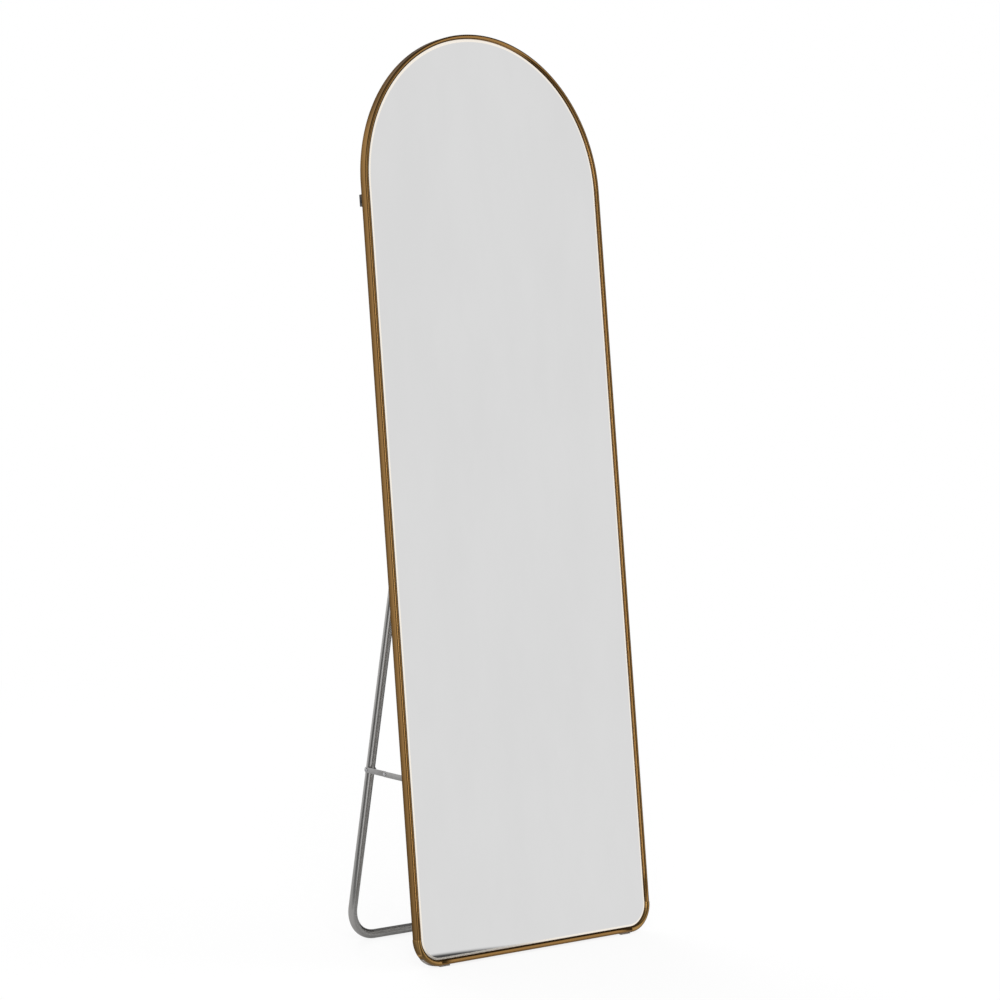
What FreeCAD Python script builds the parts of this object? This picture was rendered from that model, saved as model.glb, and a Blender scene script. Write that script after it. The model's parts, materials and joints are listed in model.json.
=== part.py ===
import FreeCAD, Part
import math
import os

import Sketcher
from FreeCAD import Placement, Rotation, Vector

# Arched full-length mirror on a fold-out U stand.
#
# Mirror coordinates are used for everything that belongs to the mirror: u across, n back
# from the front of the frame, v up the mirror from its bottom edge. The whole mirror is
# then tipped back by lean_angle. In the finished part +Z is up, the glass faces -Y, and
# the origin is on the floor under the middle of the part.

SIZES = {
    # Whole mirror, the common 65 x 22 inch size
    "overall_width": 558.0,
    "overall_height": 1650.0,
    "lean_angle": 10.5,
    # Frame section: depths from the front, widths inwards from the outer edge
    "frame_depth": 17.0,
    "bead_width": 8.3,
    "bead_depth": 4.0,
    "bead_round": 3.6,
    "side_wall": 1.2,
    "box_front": 11.0,
    "box_width": 4.4,
    "box_wall": 1.0,
    "back_round": 0.6,
    "rail_bead_width": 10.0,
    # Corner pieces
    "corner_radius": 50.0,
    "corner_proud": 0.6,
    "key_length": 25.0,
    "key_gap": 0.1,
    "key_screw_place": 12.0,
    "key_screw_radius": 0.9,
    "key_hole_radius": 0.95,
    # Glass and backing
    "glass_edge": 2.2,
    "strip_inner_edge": 6.6,
    "strip_thickness": 0.3,
    "glass_thickness": 4.0,
    "glass_bevel_depth": 0.7,
    "glass_bevel_visible": 5.2,
    "film_thickness": 0.2,
    "board_thickness": 2.5,
    # Foot pads
    "pad_front": 6.5,
    "pad_back": 16.0,
    "pad_thickness": 1.5,
    "pad_wrap_thickness": 0.8,
    "pad_wrap_angle": 46.0,
    "pad_straight": 22.0,
    # Stand: a tube bent to a U, hinged on the back of the mirror
    "tube_radius": 8.0,
    "tube_wall": 1.2,
    "leg_place": 262.0,
    "bend_radius": 58.0,
    "hinge_height": 670.0,
    "hinge_depth": 22.0,
    "open_angle": 17.3,
    "folded_angle": 0.7,
    "leg_end": 7.5,
    "plug_cap": 1.5,
    "plug_stub": 3.5,
    # Folding brace
    "brace_place": 340.0,
    "brace_foot_height": 329.5,
    "brace_foot_depth": 16.5,
    "bar_width": 10.0,
    "bar_thickness": 1.2,
    "leg_bar_inner": 270.3,
    "frame_bar_inner": 271.8,
    # Brackets
    "plate_thickness": 1.4,
    "bracket_gap": 0.3,
    "bracket_drop": 38.0,
    "bracket_corner": 1.5,
    "brace_neck_drop": 12.0,
    "brace_shoulder_drop": 7.0,
    "lip_top_drop": 4.0,
    "strap_low_drop": 29.0,
    "strap_high_drop": 13.0,
    "ear_low_drop": 9.0,
    "ear_margin": 6.0,
    "ear_foot": 4.0,
    "ear_place": 250.0,
    "hanger_height": 1333.0,
    "hanger_length": 21.0,
    "hanger_depth": 28.0,
    "hanger_flange": 18.0,
    "keyhole_radius": 4.5,
    "keyhole_slot_radius": 2.2,
    "keyhole_slot_length": 7.0,
    "keyhole_height": 7.0,
    "hanger_hole_radius": 2.6,
    "hanger_hole_height": 8.0,
    # Fasteners
    "screw_radius": 1.3,
    "screw_hole_radius": 1.35,
    "screw_head_radius": 2.8,
    "screw_head_height": 1.5,
    "recess_depth": 0.9,
    "recess_width": 0.6,
    "recess_length": 2.6,
    "key_screw_length": 3.2,
    "screw_depth": 14.0,
    "hinge_screw_low_drop": 33.0,
    "hinge_screw_high_drop": 9.0,
    "brace_screw_low_drop": 33.0,
    "brace_screw_high_drop": 22.0,
    "hanger_screw_low_rise": 4.0,
    "hanger_screw_high_rise": 17.0,
    "knee_head_radius": 3.2,
    "knee_head_height": 1.1,
    "knee_head_round": 0.8,
    "leg_bolt_head_radius": 3.5,
    "leg_bolt_head_height": 1.3,
    "leg_bolt_head_round": 0.9,
    "leg_bolt_end": 5.0,
    "leg_nut_flats": 7.0,
    "leg_nut_thickness": 3.4,
    "hinge_head_radius": 3.8,
    "hinge_head_height": 1.5,
    "hinge_head_round": 1.0,
    "hinge_bolt_end": 6.0,
    "hinge_nut_flats": 8.0,
    "hinge_nut_thickness": 4.5,
    "spacer_radius": 5.5,
    "running_gap": 0.3,
    "hinge_pin_radius": 2.5,
    "hinge_hole_radius": 2.58,
    "brace_pin_radius": 2.0,
    "brace_hole_radius": 2.08,
}

doc = FreeCAD.newDocument("floor_mirror")
sheet = doc.addObject("Spreadsheet::Sheet", "dims")


class Size:
    """A length together with the sheet expression that it comes from."""

    def __init__(self, value, text):
        self.value = value
        self.text = text

    @staticmethod
    def of(other):
        return other if isinstance(other, Size) else Size(float(other), repr(float(other)))

    def join(self, other, sign, value):
        return Size(value, f"({self.text} {sign} {other.text})")

    def __add__(self, other):
        other = Size.of(other)
        return self.join(other, "+", self.value + other.value)

    def __sub__(self, other):
        other = Size.of(other)
        return self.join(other, "-", self.value - other.value)

    def __mul__(self, other):
        other = Size.of(other)
        return self.join(other, "*", self.value * other.value)

    def __truediv__(self, other):
        other = Size.of(other)
        return self.join(other, "/", self.value / other.value)

    def __neg__(self):
        return self * -1.0

    __radd__ = __add__
    __rmul__ = __mul__

    def __rsub__(self, other):
        return Size.of(other) - self


class Dims:
    """Each spreadsheet alias as a Size."""

    def __getattr__(self, alias):
        return Size(SIZES[alias], f"dims.{alias}")


dims = Dims()


def write_sheet():
    for row, (alias, value) in enumerate(SIZES.items(), start=1):
        sheet.set(f"A{row}", alias.replace("_", " "))
        sheet.set(f"B{row}", repr(float(value)))
        sheet.setAlias(f"B{row}", alias)
    doc.recompute()


# ---------------------------------------------------------------- places worked out

def mirror_direction(angle):
    """Direction in the side view (v, n), turned from +v towards +n by an angle in degrees."""
    return math.cos(math.radians(angle)), math.sin(math.radians(angle))


LEAN = math.radians(SIZES["lean_angle"])
HALF_WIDTH = SIZES["overall_width"] / 2
SPRING_LINE = SIZES["overall_height"] - HALF_WIDTH

# The pads' thinnest edge, at the back, sets how high the frame stands above the floor.
FLOOR_GAP = (SIZES["pad_thickness"] * math.cos(LEAN)
             + SIZES["pad_back"] * math.sin(LEAN))

# The stand turns about O. Its leg leaves the vertical by this angle when it is open.
LEG_TILT = math.radians(SIZES["open_angle"]) - LEAN
HINGE_RISE = (SIZES["hinge_height"] * math.cos(LEAN)
              - SIZES["hinge_depth"] * math.sin(LEAN) + FLOOR_GAP)
LEG_LENGTH = (HINGE_RISE - SIZES["tube_radius"]) / math.cos(LEG_TILT)
SIZES["leg_length"] = round(LEG_LENGTH, 4)

# Front-most and rear-most points in Y, to put the origin under the middle.
FRONT_Y = (SIZES["bead_round"] * (math.cos(LEAN) + math.sin(LEAN) - 1)
           - SIZES["corner_proud"] * math.sin(LEAN))
HINGE_Y = SIZES["hinge_height"] * math.sin(LEAN) + SIZES["hinge_depth"] * math.cos(LEAN)
CROSSBAR_BACK_Y = HINGE_Y + LEG_LENGTH * math.sin(LEG_TILT) + SIZES["tube_radius"]
TOP_BACK_Y = ((SIZES["overall_height"] - SIZES["back_round"]) * math.sin(LEAN)
              + (SIZES["frame_depth"] - SIZES["back_round"]) * math.cos(LEAN)
              + SIZES["back_round"])
BACK_Y = max(CROSSBAR_BACK_Y, TOP_BACK_Y)
MIRROR_PLACE = Placement(Vector(0, -(FRONT_Y + BACK_Y) / 2, FLOOR_GAP),
                         Rotation(Vector(1, 0, 0), -SIZES["lean_angle"]))

# Brace in the side view (v, n): P on the leg, Q on the frame and the knee between them.
# The two bars are in line when the stand is open. When it is folded, the knee has gone up,
# as deep behind the mirror as P then is, and the bars' lengths follow from that.
def leg_point(angle):
    """Where the brace's pivot on the leg lies, with the leg at an angle to the mirror."""
    down, back = mirror_direction(angle)
    return (SIZES["hinge_height"] - SIZES["brace_place"] * down,
            SIZES["hinge_depth"] + SIZES["brace_place"] * back)


BRACE_P = leg_point(SIZES["open_angle"])
BRACE_Q = (SIZES["brace_foot_height"], SIZES["brace_foot_depth"])
FOLDED_P = leg_point(SIZES["folded_angle"])
FOLDED_RISE = BRACE_Q[0] - FOLDED_P[0]
FOLDED_STEP = FOLDED_P[1] - BRACE_Q[1]
REACH = math.dist(BRACE_P, BRACE_Q) - FOLDED_RISE
KNEE_RISE = (REACH ** 2 - FOLDED_STEP ** 2) / (2 * REACH)
SIZES["leg_bar_length"] = round(KNEE_RISE + FOLDED_RISE, 4)
SIZES["frame_bar_length"] = round(math.hypot(KNEE_RISE, FOLDED_STEP), 4)
BRACE_ANGLE = math.degrees(math.atan2(BRACE_P[1] - BRACE_Q[1], BRACE_P[0] - BRACE_Q[0]))


# ------------------------------------------------------------------ modelling helpers

def bind(thing, name, size):
    """Set a property to a size and tie it to the sheet."""
    setattr(thing, name, size.value)
    thing.setExpression(name, size.text)


def new_body(label, place):
    body = doc.addObject("PartDesign::Body", label)
    body.Label = label
    body.Placement = place
    return body


def new_sketch(body, role, offset=None):
    """A sketch on one of the body's origin planes, moved along its normal by an offset."""
    sketch = body.newObject("Sketcher::SketchObject", body.Label + "_sketch")
    plane = next(f for f in body.Origin.OriginFeatures if f.Role == role)
    sketch.AttachmentSupport = (plane, "")
    sketch.MapMode = "FlatFace"
    if offset is not None:
        sketch.AttachmentOffset = Placement(Vector(0, 0, offset.value), Rotation())
        sketch.setExpression("AttachmentOffset.Base.z", offset.text)
    return sketch


def constrain(sketch, size, *constraint):
    kind, *where = constraint
    number = sketch.addConstraint(Sketcher.Constraint(kind, *where, size.value))
    sketch.setExpression(f"Constraints[{number}]", size.text)


def fix_point(sketch, geometry, end, point):
    """Tie one end of a sketch edge to its coordinates."""
    constrain(sketch, point[0], "DistanceX", -1, 1, geometry, end)
    constrain(sketch, point[1], "DistanceY", -1, 1, geometry, end)


def unit_step(start, stop):
    """Direction of an edge along X or Y, as two whole numbers."""
    across, along = stop[0].value - start[0].value, stop[1].value - start[1].value
    length = math.hypot(across, along)
    return round(across / length), round(along / length)


def add_outline(sketch, corners):
    """Close an outline through corners (x, y, radius); rounded corners have square edges."""
    corners = [(Size.of(x), Size.of(y), Size.of(radius)) for x, y, radius in corners]
    arrive, leave = [], []
    for i, (x, y, radius) in enumerate(corners):
        if radius.value == 0:
            arrive.append((x, y))
            leave.append((x, y))
            continue
        before = unit_step((x, y), corners[i - 1])
        after = unit_step((x, y), corners[(i + 1) % len(corners)])
        arrive.append((x + radius * before[0], y + radius * before[1]))
        leave.append((x + radius * after[0], y + radius * after[1]))
    edges = []
    for i, (x, y, radius) in enumerate(corners):
        if radius.value > 0:
            edges.append((arrive[i], leave[i], (x, y), radius))
        following = arrive[(i + 1) % len(corners)]
        gap = math.hypot(following[0].value - leave[i][0].value,
                         following[1].value - leave[i][1].value)
        if gap > 1e-6:
            edges.append((leave[i], following, None, None))
    first = previous = None
    for start, stop, corner, radius in edges:
        ends = [Vector(p[0].value, p[1].value, 0) for p in (start, stop)]
        begin_end, finish_end = 1, 2
        if corner is None:
            number = sketch.addGeometry(Part.LineSegment(*ends))
        else:
            centre = ends[0] + ends[1] - Vector(corner[0].value, corner[1].value, 0)
            spokes = [end - centre for end in ends]
            if spokes[0].cross(spokes[1]).z < 0:
                begin_end, finish_end = 2, 1
                spokes.reverse()
            angles = [math.atan2(spoke.y, spoke.x) for spoke in spokes]
            circle = Part.Circle(centre, Vector(0, 0, 1), radius.value)
            if angles[1] < angles[0]:
                angles[1] += 2 * math.pi
            number = sketch.addGeometry(Part.ArcOfCircle(circle, *angles))
            constrain(sketch, radius, "Radius", number)
        fix_point(sketch, number, finish_end, stop)
        if previous is not None:
            sketch.addConstraint(Sketcher.Constraint("Coincident", *previous, number, begin_end))
        else:
            first = (number, begin_end)
        previous = (number, finish_end)
    sketch.addConstraint(Sketcher.Constraint("Coincident", *previous, *first))


def add_rectangle(sketch, low, high, radius=0.0):
    add_outline(sketch, [(low[0], low[1], radius), (high[0], low[1], radius),
                         (high[0], high[1], radius), (low[0], high[1], radius)])


def add_circle(sketch, centre, radius):
    centre = [Size.of(value) for value in centre]
    number = sketch.addGeometry(Part.Circle(
        Vector(centre[0].value, centre[1].value, 0), Vector(0, 0, 1), radius.value))
    constrain(sketch, radius, "Radius", number)
    fix_point(sketch, number, 3, centre)


def solid_volume(body):
    doc.recompute()
    return body.Shape.Volume


def extrude(body, sketch, length, kind="PartDesign::Pad", back=False, midplane=False):
    """Pad or pocket a sketch, and check that it really adds or removes material."""
    before = 0.0 if body.Tip is None else solid_volume(body)
    feature = body.newObject(kind, body.Label + "_" + kind.split("::")[1].lower())
    feature.Profile = sketch
    bind(feature, "Length", length)
    feature.Reversed = back
    feature.Midplane = midplane
    change = solid_volume(body) - before
    if (change < 0) != kind.endswith("Pocket") or abs(change) < 1e-3:
        raise RuntimeError(f"{feature.Label} changed the volume by {change}")
    return feature


def pocket(body, sketch, length, back=False, midplane=False):
    return extrude(body, sketch, length, "PartDesign::Pocket", back, midplane)


def revolve(body, sketch, angle, back=False):
    feature = body.newObject("PartDesign::Revolution", body.Label + "_revolution")
    feature.Profile = sketch
    feature.ReferenceAxis = (sketch, ["V_Axis"])
    feature.Angle = angle
    feature.Reversed = back
    doc.recompute()
    return feature


def mirror_feature(body, features, role="YZ_Plane"):
    plane = next(f for f in body.Origin.OriginFeatures if f.Role == role)
    feature = body.newObject("PartDesign::Mirrored", body.Label + "_mirrored")
    feature.Originals = features
    feature.MirrorPlane = (plane, [""])
    body.Tip = feature
    doc.recompute()
    return feature


def on_mirror(u=0.0, n=0.0, v=0.0, turn=0.0):
    """Placement at a point of the mirror, turned about the crosswise axis by an angle."""
    return MIRROR_PLACE.multiply(Placement(Vector(u, n, v), Rotation(Vector(1, 0, 0), turn)))


def on_stand(u=0.0, along=0.0):
    """Placement on the open stand, at a distance down the leg from the hinge."""
    hinge = on_mirror(0, SIZES["hinge_depth"], SIZES["hinge_height"], SIZES["open_angle"])
    return hinge.multiply(Placement(Vector(u, 0, -along), Rotation()))


def right_hand(left, label):
    """The right-hand twin of a left-hand piece."""
    twin = doc.addObject("Part::Mirroring", label)
    twin.Label = label
    twin.Source = left
    twin.Base = Vector(0, 0, 0)
    twin.Normal = Vector(1, 0, 0)
    return twin


def group(label, shapes, place):
    """One node of several equal solids, such as a set of screws."""
    feature = doc.addObject("Part::Feature", label)
    feature.Label = label
    feature.Shape = Part.makeCompound(shapes)
    feature.Placement = place
    return feature


# ------------------------------------------------------------------------------ frame

def frame_section(sketch, place, bead_width, proud=0.0, hollow=True):
    """The frame's section. place(width, depth) gives the sketch point of each corner."""
    def corner(width, depth, radius=0.0):
        return (*place(width, depth), radius)

    outer = Size.of(-proud)
    add_outline(sketch, [
        corner(outer, Size.of(0), dims.bead_round),
        corner(bead_width, Size.of(0), dims.bead_round),
        corner(bead_width, dims.bead_depth),
        corner(dims.side_wall, dims.bead_depth),
        corner(dims.side_wall, dims.box_front),
        corner(dims.box_width, dims.box_front),
        corner(dims.box_width, dims.frame_depth, dims.back_round),
        corner(outer, dims.frame_depth, dims.back_round),
    ])
    if hollow:
        low = place(dims.side_wall, dims.box_front + dims.box_wall)
        high = place(dims.box_width - dims.box_wall, dims.frame_depth - dims.box_wall)
        add_rectangle(sketch, low, high)


def box_middle():
    """Middle of the rear box's hollow, in from the frame's outer edge."""
    return (dims.side_wall + dims.box_width - dims.box_wall) / 2


def bracket_screw_heights():
    """Height of each screw along the posts, by the bracket that it holds."""
    hinge = SIZES["hinge_height"]
    foot = SIZES["brace_foot_height"]
    hanger = SIZES["hanger_height"]
    return {
        "hinge_bracket": (hinge - SIZES["hinge_screw_low_drop"],
                          hinge - SIZES["hinge_screw_high_drop"]),
        "brace_bracket": (foot - SIZES["brace_screw_low_drop"],
                          foot - SIZES["brace_screw_high_drop"]),
        "hanger": (hanger + SIZES["hanger_screw_low_rise"],
                   hanger + SIZES["hanger_screw_high_rise"]),
    }


def make_frame_arch():
    """Both posts and the half-round top, bent from one length of extrusion."""
    body = new_body("frame_arch", on_mirror(v=SPRING_LINE))
    section = new_sketch(body, "XY_Plane")
    frame_section(section, lambda w, d: (w - dims.overall_width / 2, d), dims.bead_width)
    revolve(body, section, 180)
    post = dims.overall_height - dims.overall_width / 2 - dims.corner_radius
    left = extrude(body, section, post, back=True)
    mirror_feature(body, [left])

    holes = new_sketch(body, "YZ_Plane")
    for heights in bracket_screw_heights().values():
        for height in heights:
            add_circle(holes, (dims.screw_depth, height - SPRING_LINE), dims.screw_hole_radius)
    pocket(body, holes, dims.overall_width - dims.box_width, midplane=True)

    key_holes = new_sketch(body, "XZ_Plane", -dims.frame_depth)
    key_height = (dims.corner_radius + dims.key_screw_place
                  + dims.overall_width / 2 - dims.overall_height)
    for side in (-1, 1):
        across = (dims.overall_width / 2 - box_middle()) * side
        add_circle(key_holes, (across, key_height), dims.key_hole_radius)
    pocket(body, key_holes, dims.box_wall * 1.5, back=True)
    return body


def make_bottom_rail():
    body = new_body("frame_bottom_rail", on_mirror())
    section = new_sketch(body, "YZ_Plane")
    frame_section(section, lambda w, d: (d, w), dims.rail_bead_width)
    extrude(body, section, dims.overall_width - dims.corner_radius * 2, midplane=True)
    holes = new_sketch(body, "XZ_Plane", -dims.frame_depth)
    for side in (-1, 1):
        across = (dims.overall_width / 2 - dims.corner_radius - dims.key_screw_place) * side
        add_circle(holes, (across, box_middle()), dims.key_hole_radius)
    pocket(body, holes, dims.box_wall * 1.5, back=True)
    return body


def make_corner():
    """Rounded corner piece, solid, with a key that slides into each rail's rear box."""
    radius = SIZES["corner_radius"]
    body = new_body("corner_left", on_mirror(radius - HALF_WIDTH, 0, radius))
    section = new_sketch(body, "XY_Plane")
    frame_section(section, lambda w, d: (w - dims.corner_radius, d), dims.bead_width,
                  proud=SIZES["corner_proud"], hollow=False)
    revolve(body, section, 90, back=True)
    inner = dims.side_wall + dims.key_gap - dims.corner_radius
    outer = dims.box_width - dims.box_wall - dims.key_gap - dims.corner_radius
    front = dims.box_front + dims.box_wall + dims.key_gap
    back = dims.frame_depth - dims.box_wall - dims.key_gap
    post_key = new_sketch(body, "XY_Plane")
    add_rectangle(post_key, (inner, front), (outer, back))
    extrude(body, post_key, dims.key_length)
    rail_key = new_sketch(body, "YZ_Plane")
    add_rectangle(rail_key, (front, inner), (back, outer))
    extrude(body, rail_key, dims.key_length)
    holes = new_sketch(body, "XZ_Plane", dims.key_gap + dims.box_wall - dims.frame_depth)
    middle = box_middle() - dims.corner_radius
    for centre in ((middle, dims.key_screw_place), (dims.key_screw_place, middle)):
        add_circle(holes, centre, dims.key_hole_radius)
    pocket(body, holes, dims.key_screw_length, back=True)
    return body


# ------------------------------------------------------------------- glass and backing

def plate_outline(sketch, edge):
    """Outline of the glass or board: half-round top and rounded bottom corners."""
    half = dims.overall_width / 2 - edge
    corner = dims.corner_radius - edge
    top = dims.overall_height - edge
    add_outline(sketch, [(-half, edge, corner), (half, edge, corner),
                         (half, top, half), (-half, top, half)])


def make_plate(label, front, thickness, edge=dims.glass_edge, inner_edge=None):
    """Flat piece of the mirror, from a depth backwards; with an inner edge it is a ring."""
    body = new_body(label, on_mirror())
    sketch = new_sketch(body, "XZ_Plane", -front)
    plate_outline(sketch, edge)
    if inner_edge is not None:
        plate_outline(sketch, inner_edge)
    extrude(body, sketch, thickness, back=True)
    return body


def make_glass(front):
    """Plate of glass whose front edge is ground to a wide, shallow bevel."""
    edge_back = front + dims.glass_bevel_depth
    body = make_plate("mirror_glass", edge_back, dims.glass_thickness - dims.glass_bevel_depth)
    outer = new_sketch(body, "XZ_Plane", -edge_back)
    plate_outline(outer, dims.glass_edge)
    inner = new_sketch(body, "XZ_Plane", -front)
    plate_outline(inner, dims.bead_width + dims.glass_bevel_visible)
    doc.recompute()
    bevel = body.newObject("PartDesign::AdditiveLoft", "mirror_glass_bevel")
    bevel.Profile = outer
    bevel.Sections = [inner]
    bevel.Ruled = True
    body.Tip = bevel
    return body


def make_foot_pad():
    """Soft pad round the outside of a corner, cut level with the floor underneath."""
    radius = SIZES["corner_radius"]
    body = new_body("foot_pad_left", on_mirror(radius - HALF_WIDTH, 0, radius))
    section = new_sketch(body, "YZ_Plane")
    inside = -(dims.corner_radius + dims.corner_proud)
    add_rectangle(section, (dims.pad_front, inside - dims.pad_wrap_thickness),
                  (dims.pad_back, inside))
    wrap = body.newObject("PartDesign::Revolution", "foot_pad_wrap")
    wrap.Profile = section
    wrap.ReferenceAxis = (section, ["H_Axis"])
    bind(wrap, "Angle", dims.pad_wrap_angle)
    doc.recompute()
    straight = new_sketch(body, "YZ_Plane")
    uncut = -(dims.corner_radius + dims.pad_thickness * 2)
    add_rectangle(straight, (dims.pad_front, uncut), (dims.pad_back, -dims.corner_radius))
    extrude(body, straight, dims.pad_straight)
    floor_cut = new_sketch(body, "YZ_Plane")
    slope = math.tan(LEAN)
    level = -FLOOR_GAP / math.cos(LEAN) - radius
    beyond = SIZES["pad_thickness"] * 3
    front, back = SIZES["pad_front"] - beyond, SIZES["pad_back"] + beyond
    add_outline(floor_cut, [(front, level + front * slope, 0), (front, level - beyond, 0),
                            (back, level - beyond, 0), (back, level + back * slope, 0)])
    pocket(body, floor_cut, dims.overall_width, midplane=True)
    return body


# ------------------------------------------------------------------------------ stand

def make_stand_tube():
    """One tube bent to a U. Its own origin is on the hinge, its legs point down."""
    body = new_body("stand_tube", on_stand())
    path = new_sketch(body, "XZ_Plane")
    leg = SIZES["leg_place"]
    bend = SIZES["bend_radius"]
    bottom = -SIZES["leg_length"]
    runs = [((-leg, SIZES["leg_end"]), (-leg, bottom + bend)),
            ((-leg + bend, bottom), (leg - bend, bottom)),
            ((leg, bottom + bend), (leg, SIZES["leg_end"]))]
    side, top = dims.leg_place, dims.leg_end
    low, bend_top = -dims.leg_length, dims.bend_radius - dims.leg_length
    run_sizes = [((-side, top), (-side, bend_top)),
                 ((dims.bend_radius - side, low), (side - dims.bend_radius, low)),
                 ((side, bend_top), (side, top))]
    for (start, stop), sizes in zip(runs, run_sizes):
        number = path.addGeometry(Part.LineSegment(Vector(*start, 0), Vector(*stop, 0)))
        fix_point(path, number, 1, sizes[0])
        fix_point(path, number, 2, sizes[1])
    for centre, low, high, joints in (
            (-leg + bend, math.pi, 1.5 * math.pi, ((0, 2, 1), (1, 1, 2))),
            (leg - bend, 1.5 * math.pi, 2 * math.pi, ((1, 2, 1), (2, 1, 2)))):
        circle = Part.Circle(Vector(centre, bottom + bend, 0), Vector(0, 0, 1), bend)
        number = path.addGeometry(Part.ArcOfCircle(circle, low, high))
        constrain(path, dims.bend_radius, "Radius", number)
        for line, line_end, arc_end in joints:
            path.addConstraint(Sketcher.Constraint("Coincident", number, arc_end, line, line_end))
    section = new_sketch(body, "XY_Plane", dims.leg_end)
    add_circle(section, (-dims.leg_place, 0), dims.tube_radius)
    add_circle(section, (-dims.leg_place, 0), dims.tube_radius - dims.tube_wall)
    doc.recompute()
    pipe = body.newObject("PartDesign::AdditivePipe", "stand_tube_pipe")
    pipe.Profile = section
    pipe.Spine = (path, [f"Edge{i}" for i in range(1, 6)])
    body.Tip = pipe
    for centre, radius in ((0, dims.hinge_hole_radius), (-dims.brace_place, dims.brace_hole_radius)):
        hole = new_sketch(body, "YZ_Plane")
        add_circle(hole, (0, centre), radius)
        pocket(body, hole, dims.overall_width, midplane=True)
    return body


def make_tube_plug():
    body = new_body("tube_plug_left", on_stand(-SIZES["leg_place"], -SIZES["leg_end"]))
    cap = new_sketch(body, "XY_Plane")
    add_circle(cap, (0, 0), dims.tube_radius)
    extrude(body, cap, dims.plug_cap)
    stub = new_sketch(body, "XY_Plane")
    add_circle(stub, (0, 0), dims.tube_radius - dims.tube_wall)
    extrude(body, stub, dims.plug_stub, back=True)
    return body


# ------------------------------------------------------------------------------ brace

def make_bar(label, place, length, rest_hole, knee_hole):
    """Flat bar with round ends, along its own +Z from its fixed pivot to the knee."""
    body = new_body(label, place)
    outline = new_sketch(body, "YZ_Plane")
    half = dims.bar_width / 2
    add_outline(outline, [(-half, -half, half), (half, -half, half),
                          (half, length + half, half), (-half, length + half, half)])
    add_circle(outline, (0, 0), rest_hole)
    add_circle(outline, (0, length), knee_hole)
    extrude(body, outline, dims.bar_thickness, back=True)
    return body


def brace_place(pivot, inner, turn):
    return on_mirror(-SIZES[inner], pivot[1], pivot[0], turn)


def make_brace_bars():
    leg_bar = make_bar("brace_leg_bar_left", brace_place(BRACE_P, "leg_bar_inner", 180 - BRACE_ANGLE),
                       dims.leg_bar_length, dims.brace_hole_radius, dims.brace_pin_radius)
    frame_bar = make_bar("brace_frame_bar_left", brace_place(BRACE_Q, "frame_bar_inner", -BRACE_ANGLE),
                         dims.frame_bar_length, dims.brace_hole_radius, dims.brace_pin_radius)
    return [leg_bar, frame_bar]


def make_pin(label, place, rings):
    """Turned piece along its own -X: each ring is (start, end, radius) from the axis start."""
    body = new_body(label, place)
    for start, end, radius in rings:
        ring = new_sketch(body, "YZ_Plane", -Size.of(start))
        add_circle(ring, (0, 0), radius)
        extrude(body, ring, Size.of(end) - Size.of(start), back=True)
    return body


def dome(body, height):
    """Round the outer rim of a rivet or bolt head."""
    tip = body.Tip
    reach = [edge.CenterOfMass.x for edge in tip.Shape.Edges]
    fillet = body.newObject("PartDesign::Fillet", body.Label + "_dome")
    fillet.Base = (tip, [f"Edge{reach.index(min(reach)) + 1}"])
    fillet.Radius = height
    body.Tip = fillet
    doc.recompute()
    return body


def make_knee_rivets():
    """The knee's rivet is two halves, one fixed in each bar."""
    knee = (BRACE_Q[0] + SIZES["frame_bar_length"] * mirror_direction(BRACE_ANGLE)[0],
            BRACE_Q[1] + SIZES["frame_bar_length"] * mirror_direction(BRACE_ANGLE)[1])
    thick = dims.bar_thickness
    head = make_pin("brace_rivet_left", brace_place(knee, "frame_bar_inner", 0),
                    [(0, thick, dims.brace_pin_radius),
                     (thick, thick + dims.knee_head_height, dims.knee_head_radius)])
    tail = make_pin("brace_rivet_tail_left", brace_place(knee, "leg_bar_inner", 0),
                    [(0, thick, dims.brace_pin_radius)])
    return [dome(head, SIZES["knee_head_round"]), tail]


def make_leg_bolt():
    """Bolt through the leg that the brace turns on. Its nut is on the leg's inner side."""
    start = SIZES["leg_place"] - SIZES["tube_radius"] - SIZES["leg_bolt_end"]
    outer = dims.leg_bar_inner + dims.bar_thickness - start
    bolt = make_pin("brace_leg_bolt_left", on_mirror(-start, BRACE_P[1], BRACE_P[0]),
                    [(0, outer, dims.brace_pin_radius),
                     (outer, outer + dims.leg_bolt_head_height, dims.leg_bolt_head_radius)])
    return dome(bolt, SIZES["leg_bolt_head_round"])


def make_frame_pin():
    """Pin riveted flush into the brace bracket, which the frame bar turns on."""
    return make_pin("brace_frame_pin_left", brace_place(BRACE_Q, "frame_bar_inner", 0),
                    [(0, wall_place() - SIZES["frame_bar_inner"], dims.brace_pin_radius)])


def nut(across_flats, bore_radius, thickness):
    """Hexagon nut along X, one flat towards +Y."""
    corner = across_flats / math.sqrt(3)
    points = [Vector(0, corner * math.cos(math.radians(a)), corner * math.sin(math.radians(a)))
              for a in range(30, 391, 60)]
    blank = Part.Face(Part.makePolygon(points)).extrude(Vector(thickness, 0, 0))
    rim = Part.makeCone(corner + thickness * 1.2, corner * 0.9, thickness, Vector(0, 0, 0),
                        Vector(1, 0, 0))
    bore = Part.makeCylinder(bore_radius, thickness, Vector(0, 0, 0), Vector(1, 0, 0))
    return blank.common(rim).cut(bore)


def both_sides(shape, place):
    """A shape that points inwards on the left, and its twin on the right."""
    left = shape.copy()
    left.translate(Vector(-place, 0, 0))
    return [left, left.mirror(Vector(0, 0, 0), Vector(1, 0, 0))]


# --------------------------------------------------------------------------- brackets

def wall_place():
    """How far out the flat inner face of the frame's rear box lies."""
    return HALF_WIDTH - SIZES["box_width"]


def plate_place(v, n=0.0):
    return on_mirror(-wall_place(), n, v)


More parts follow.
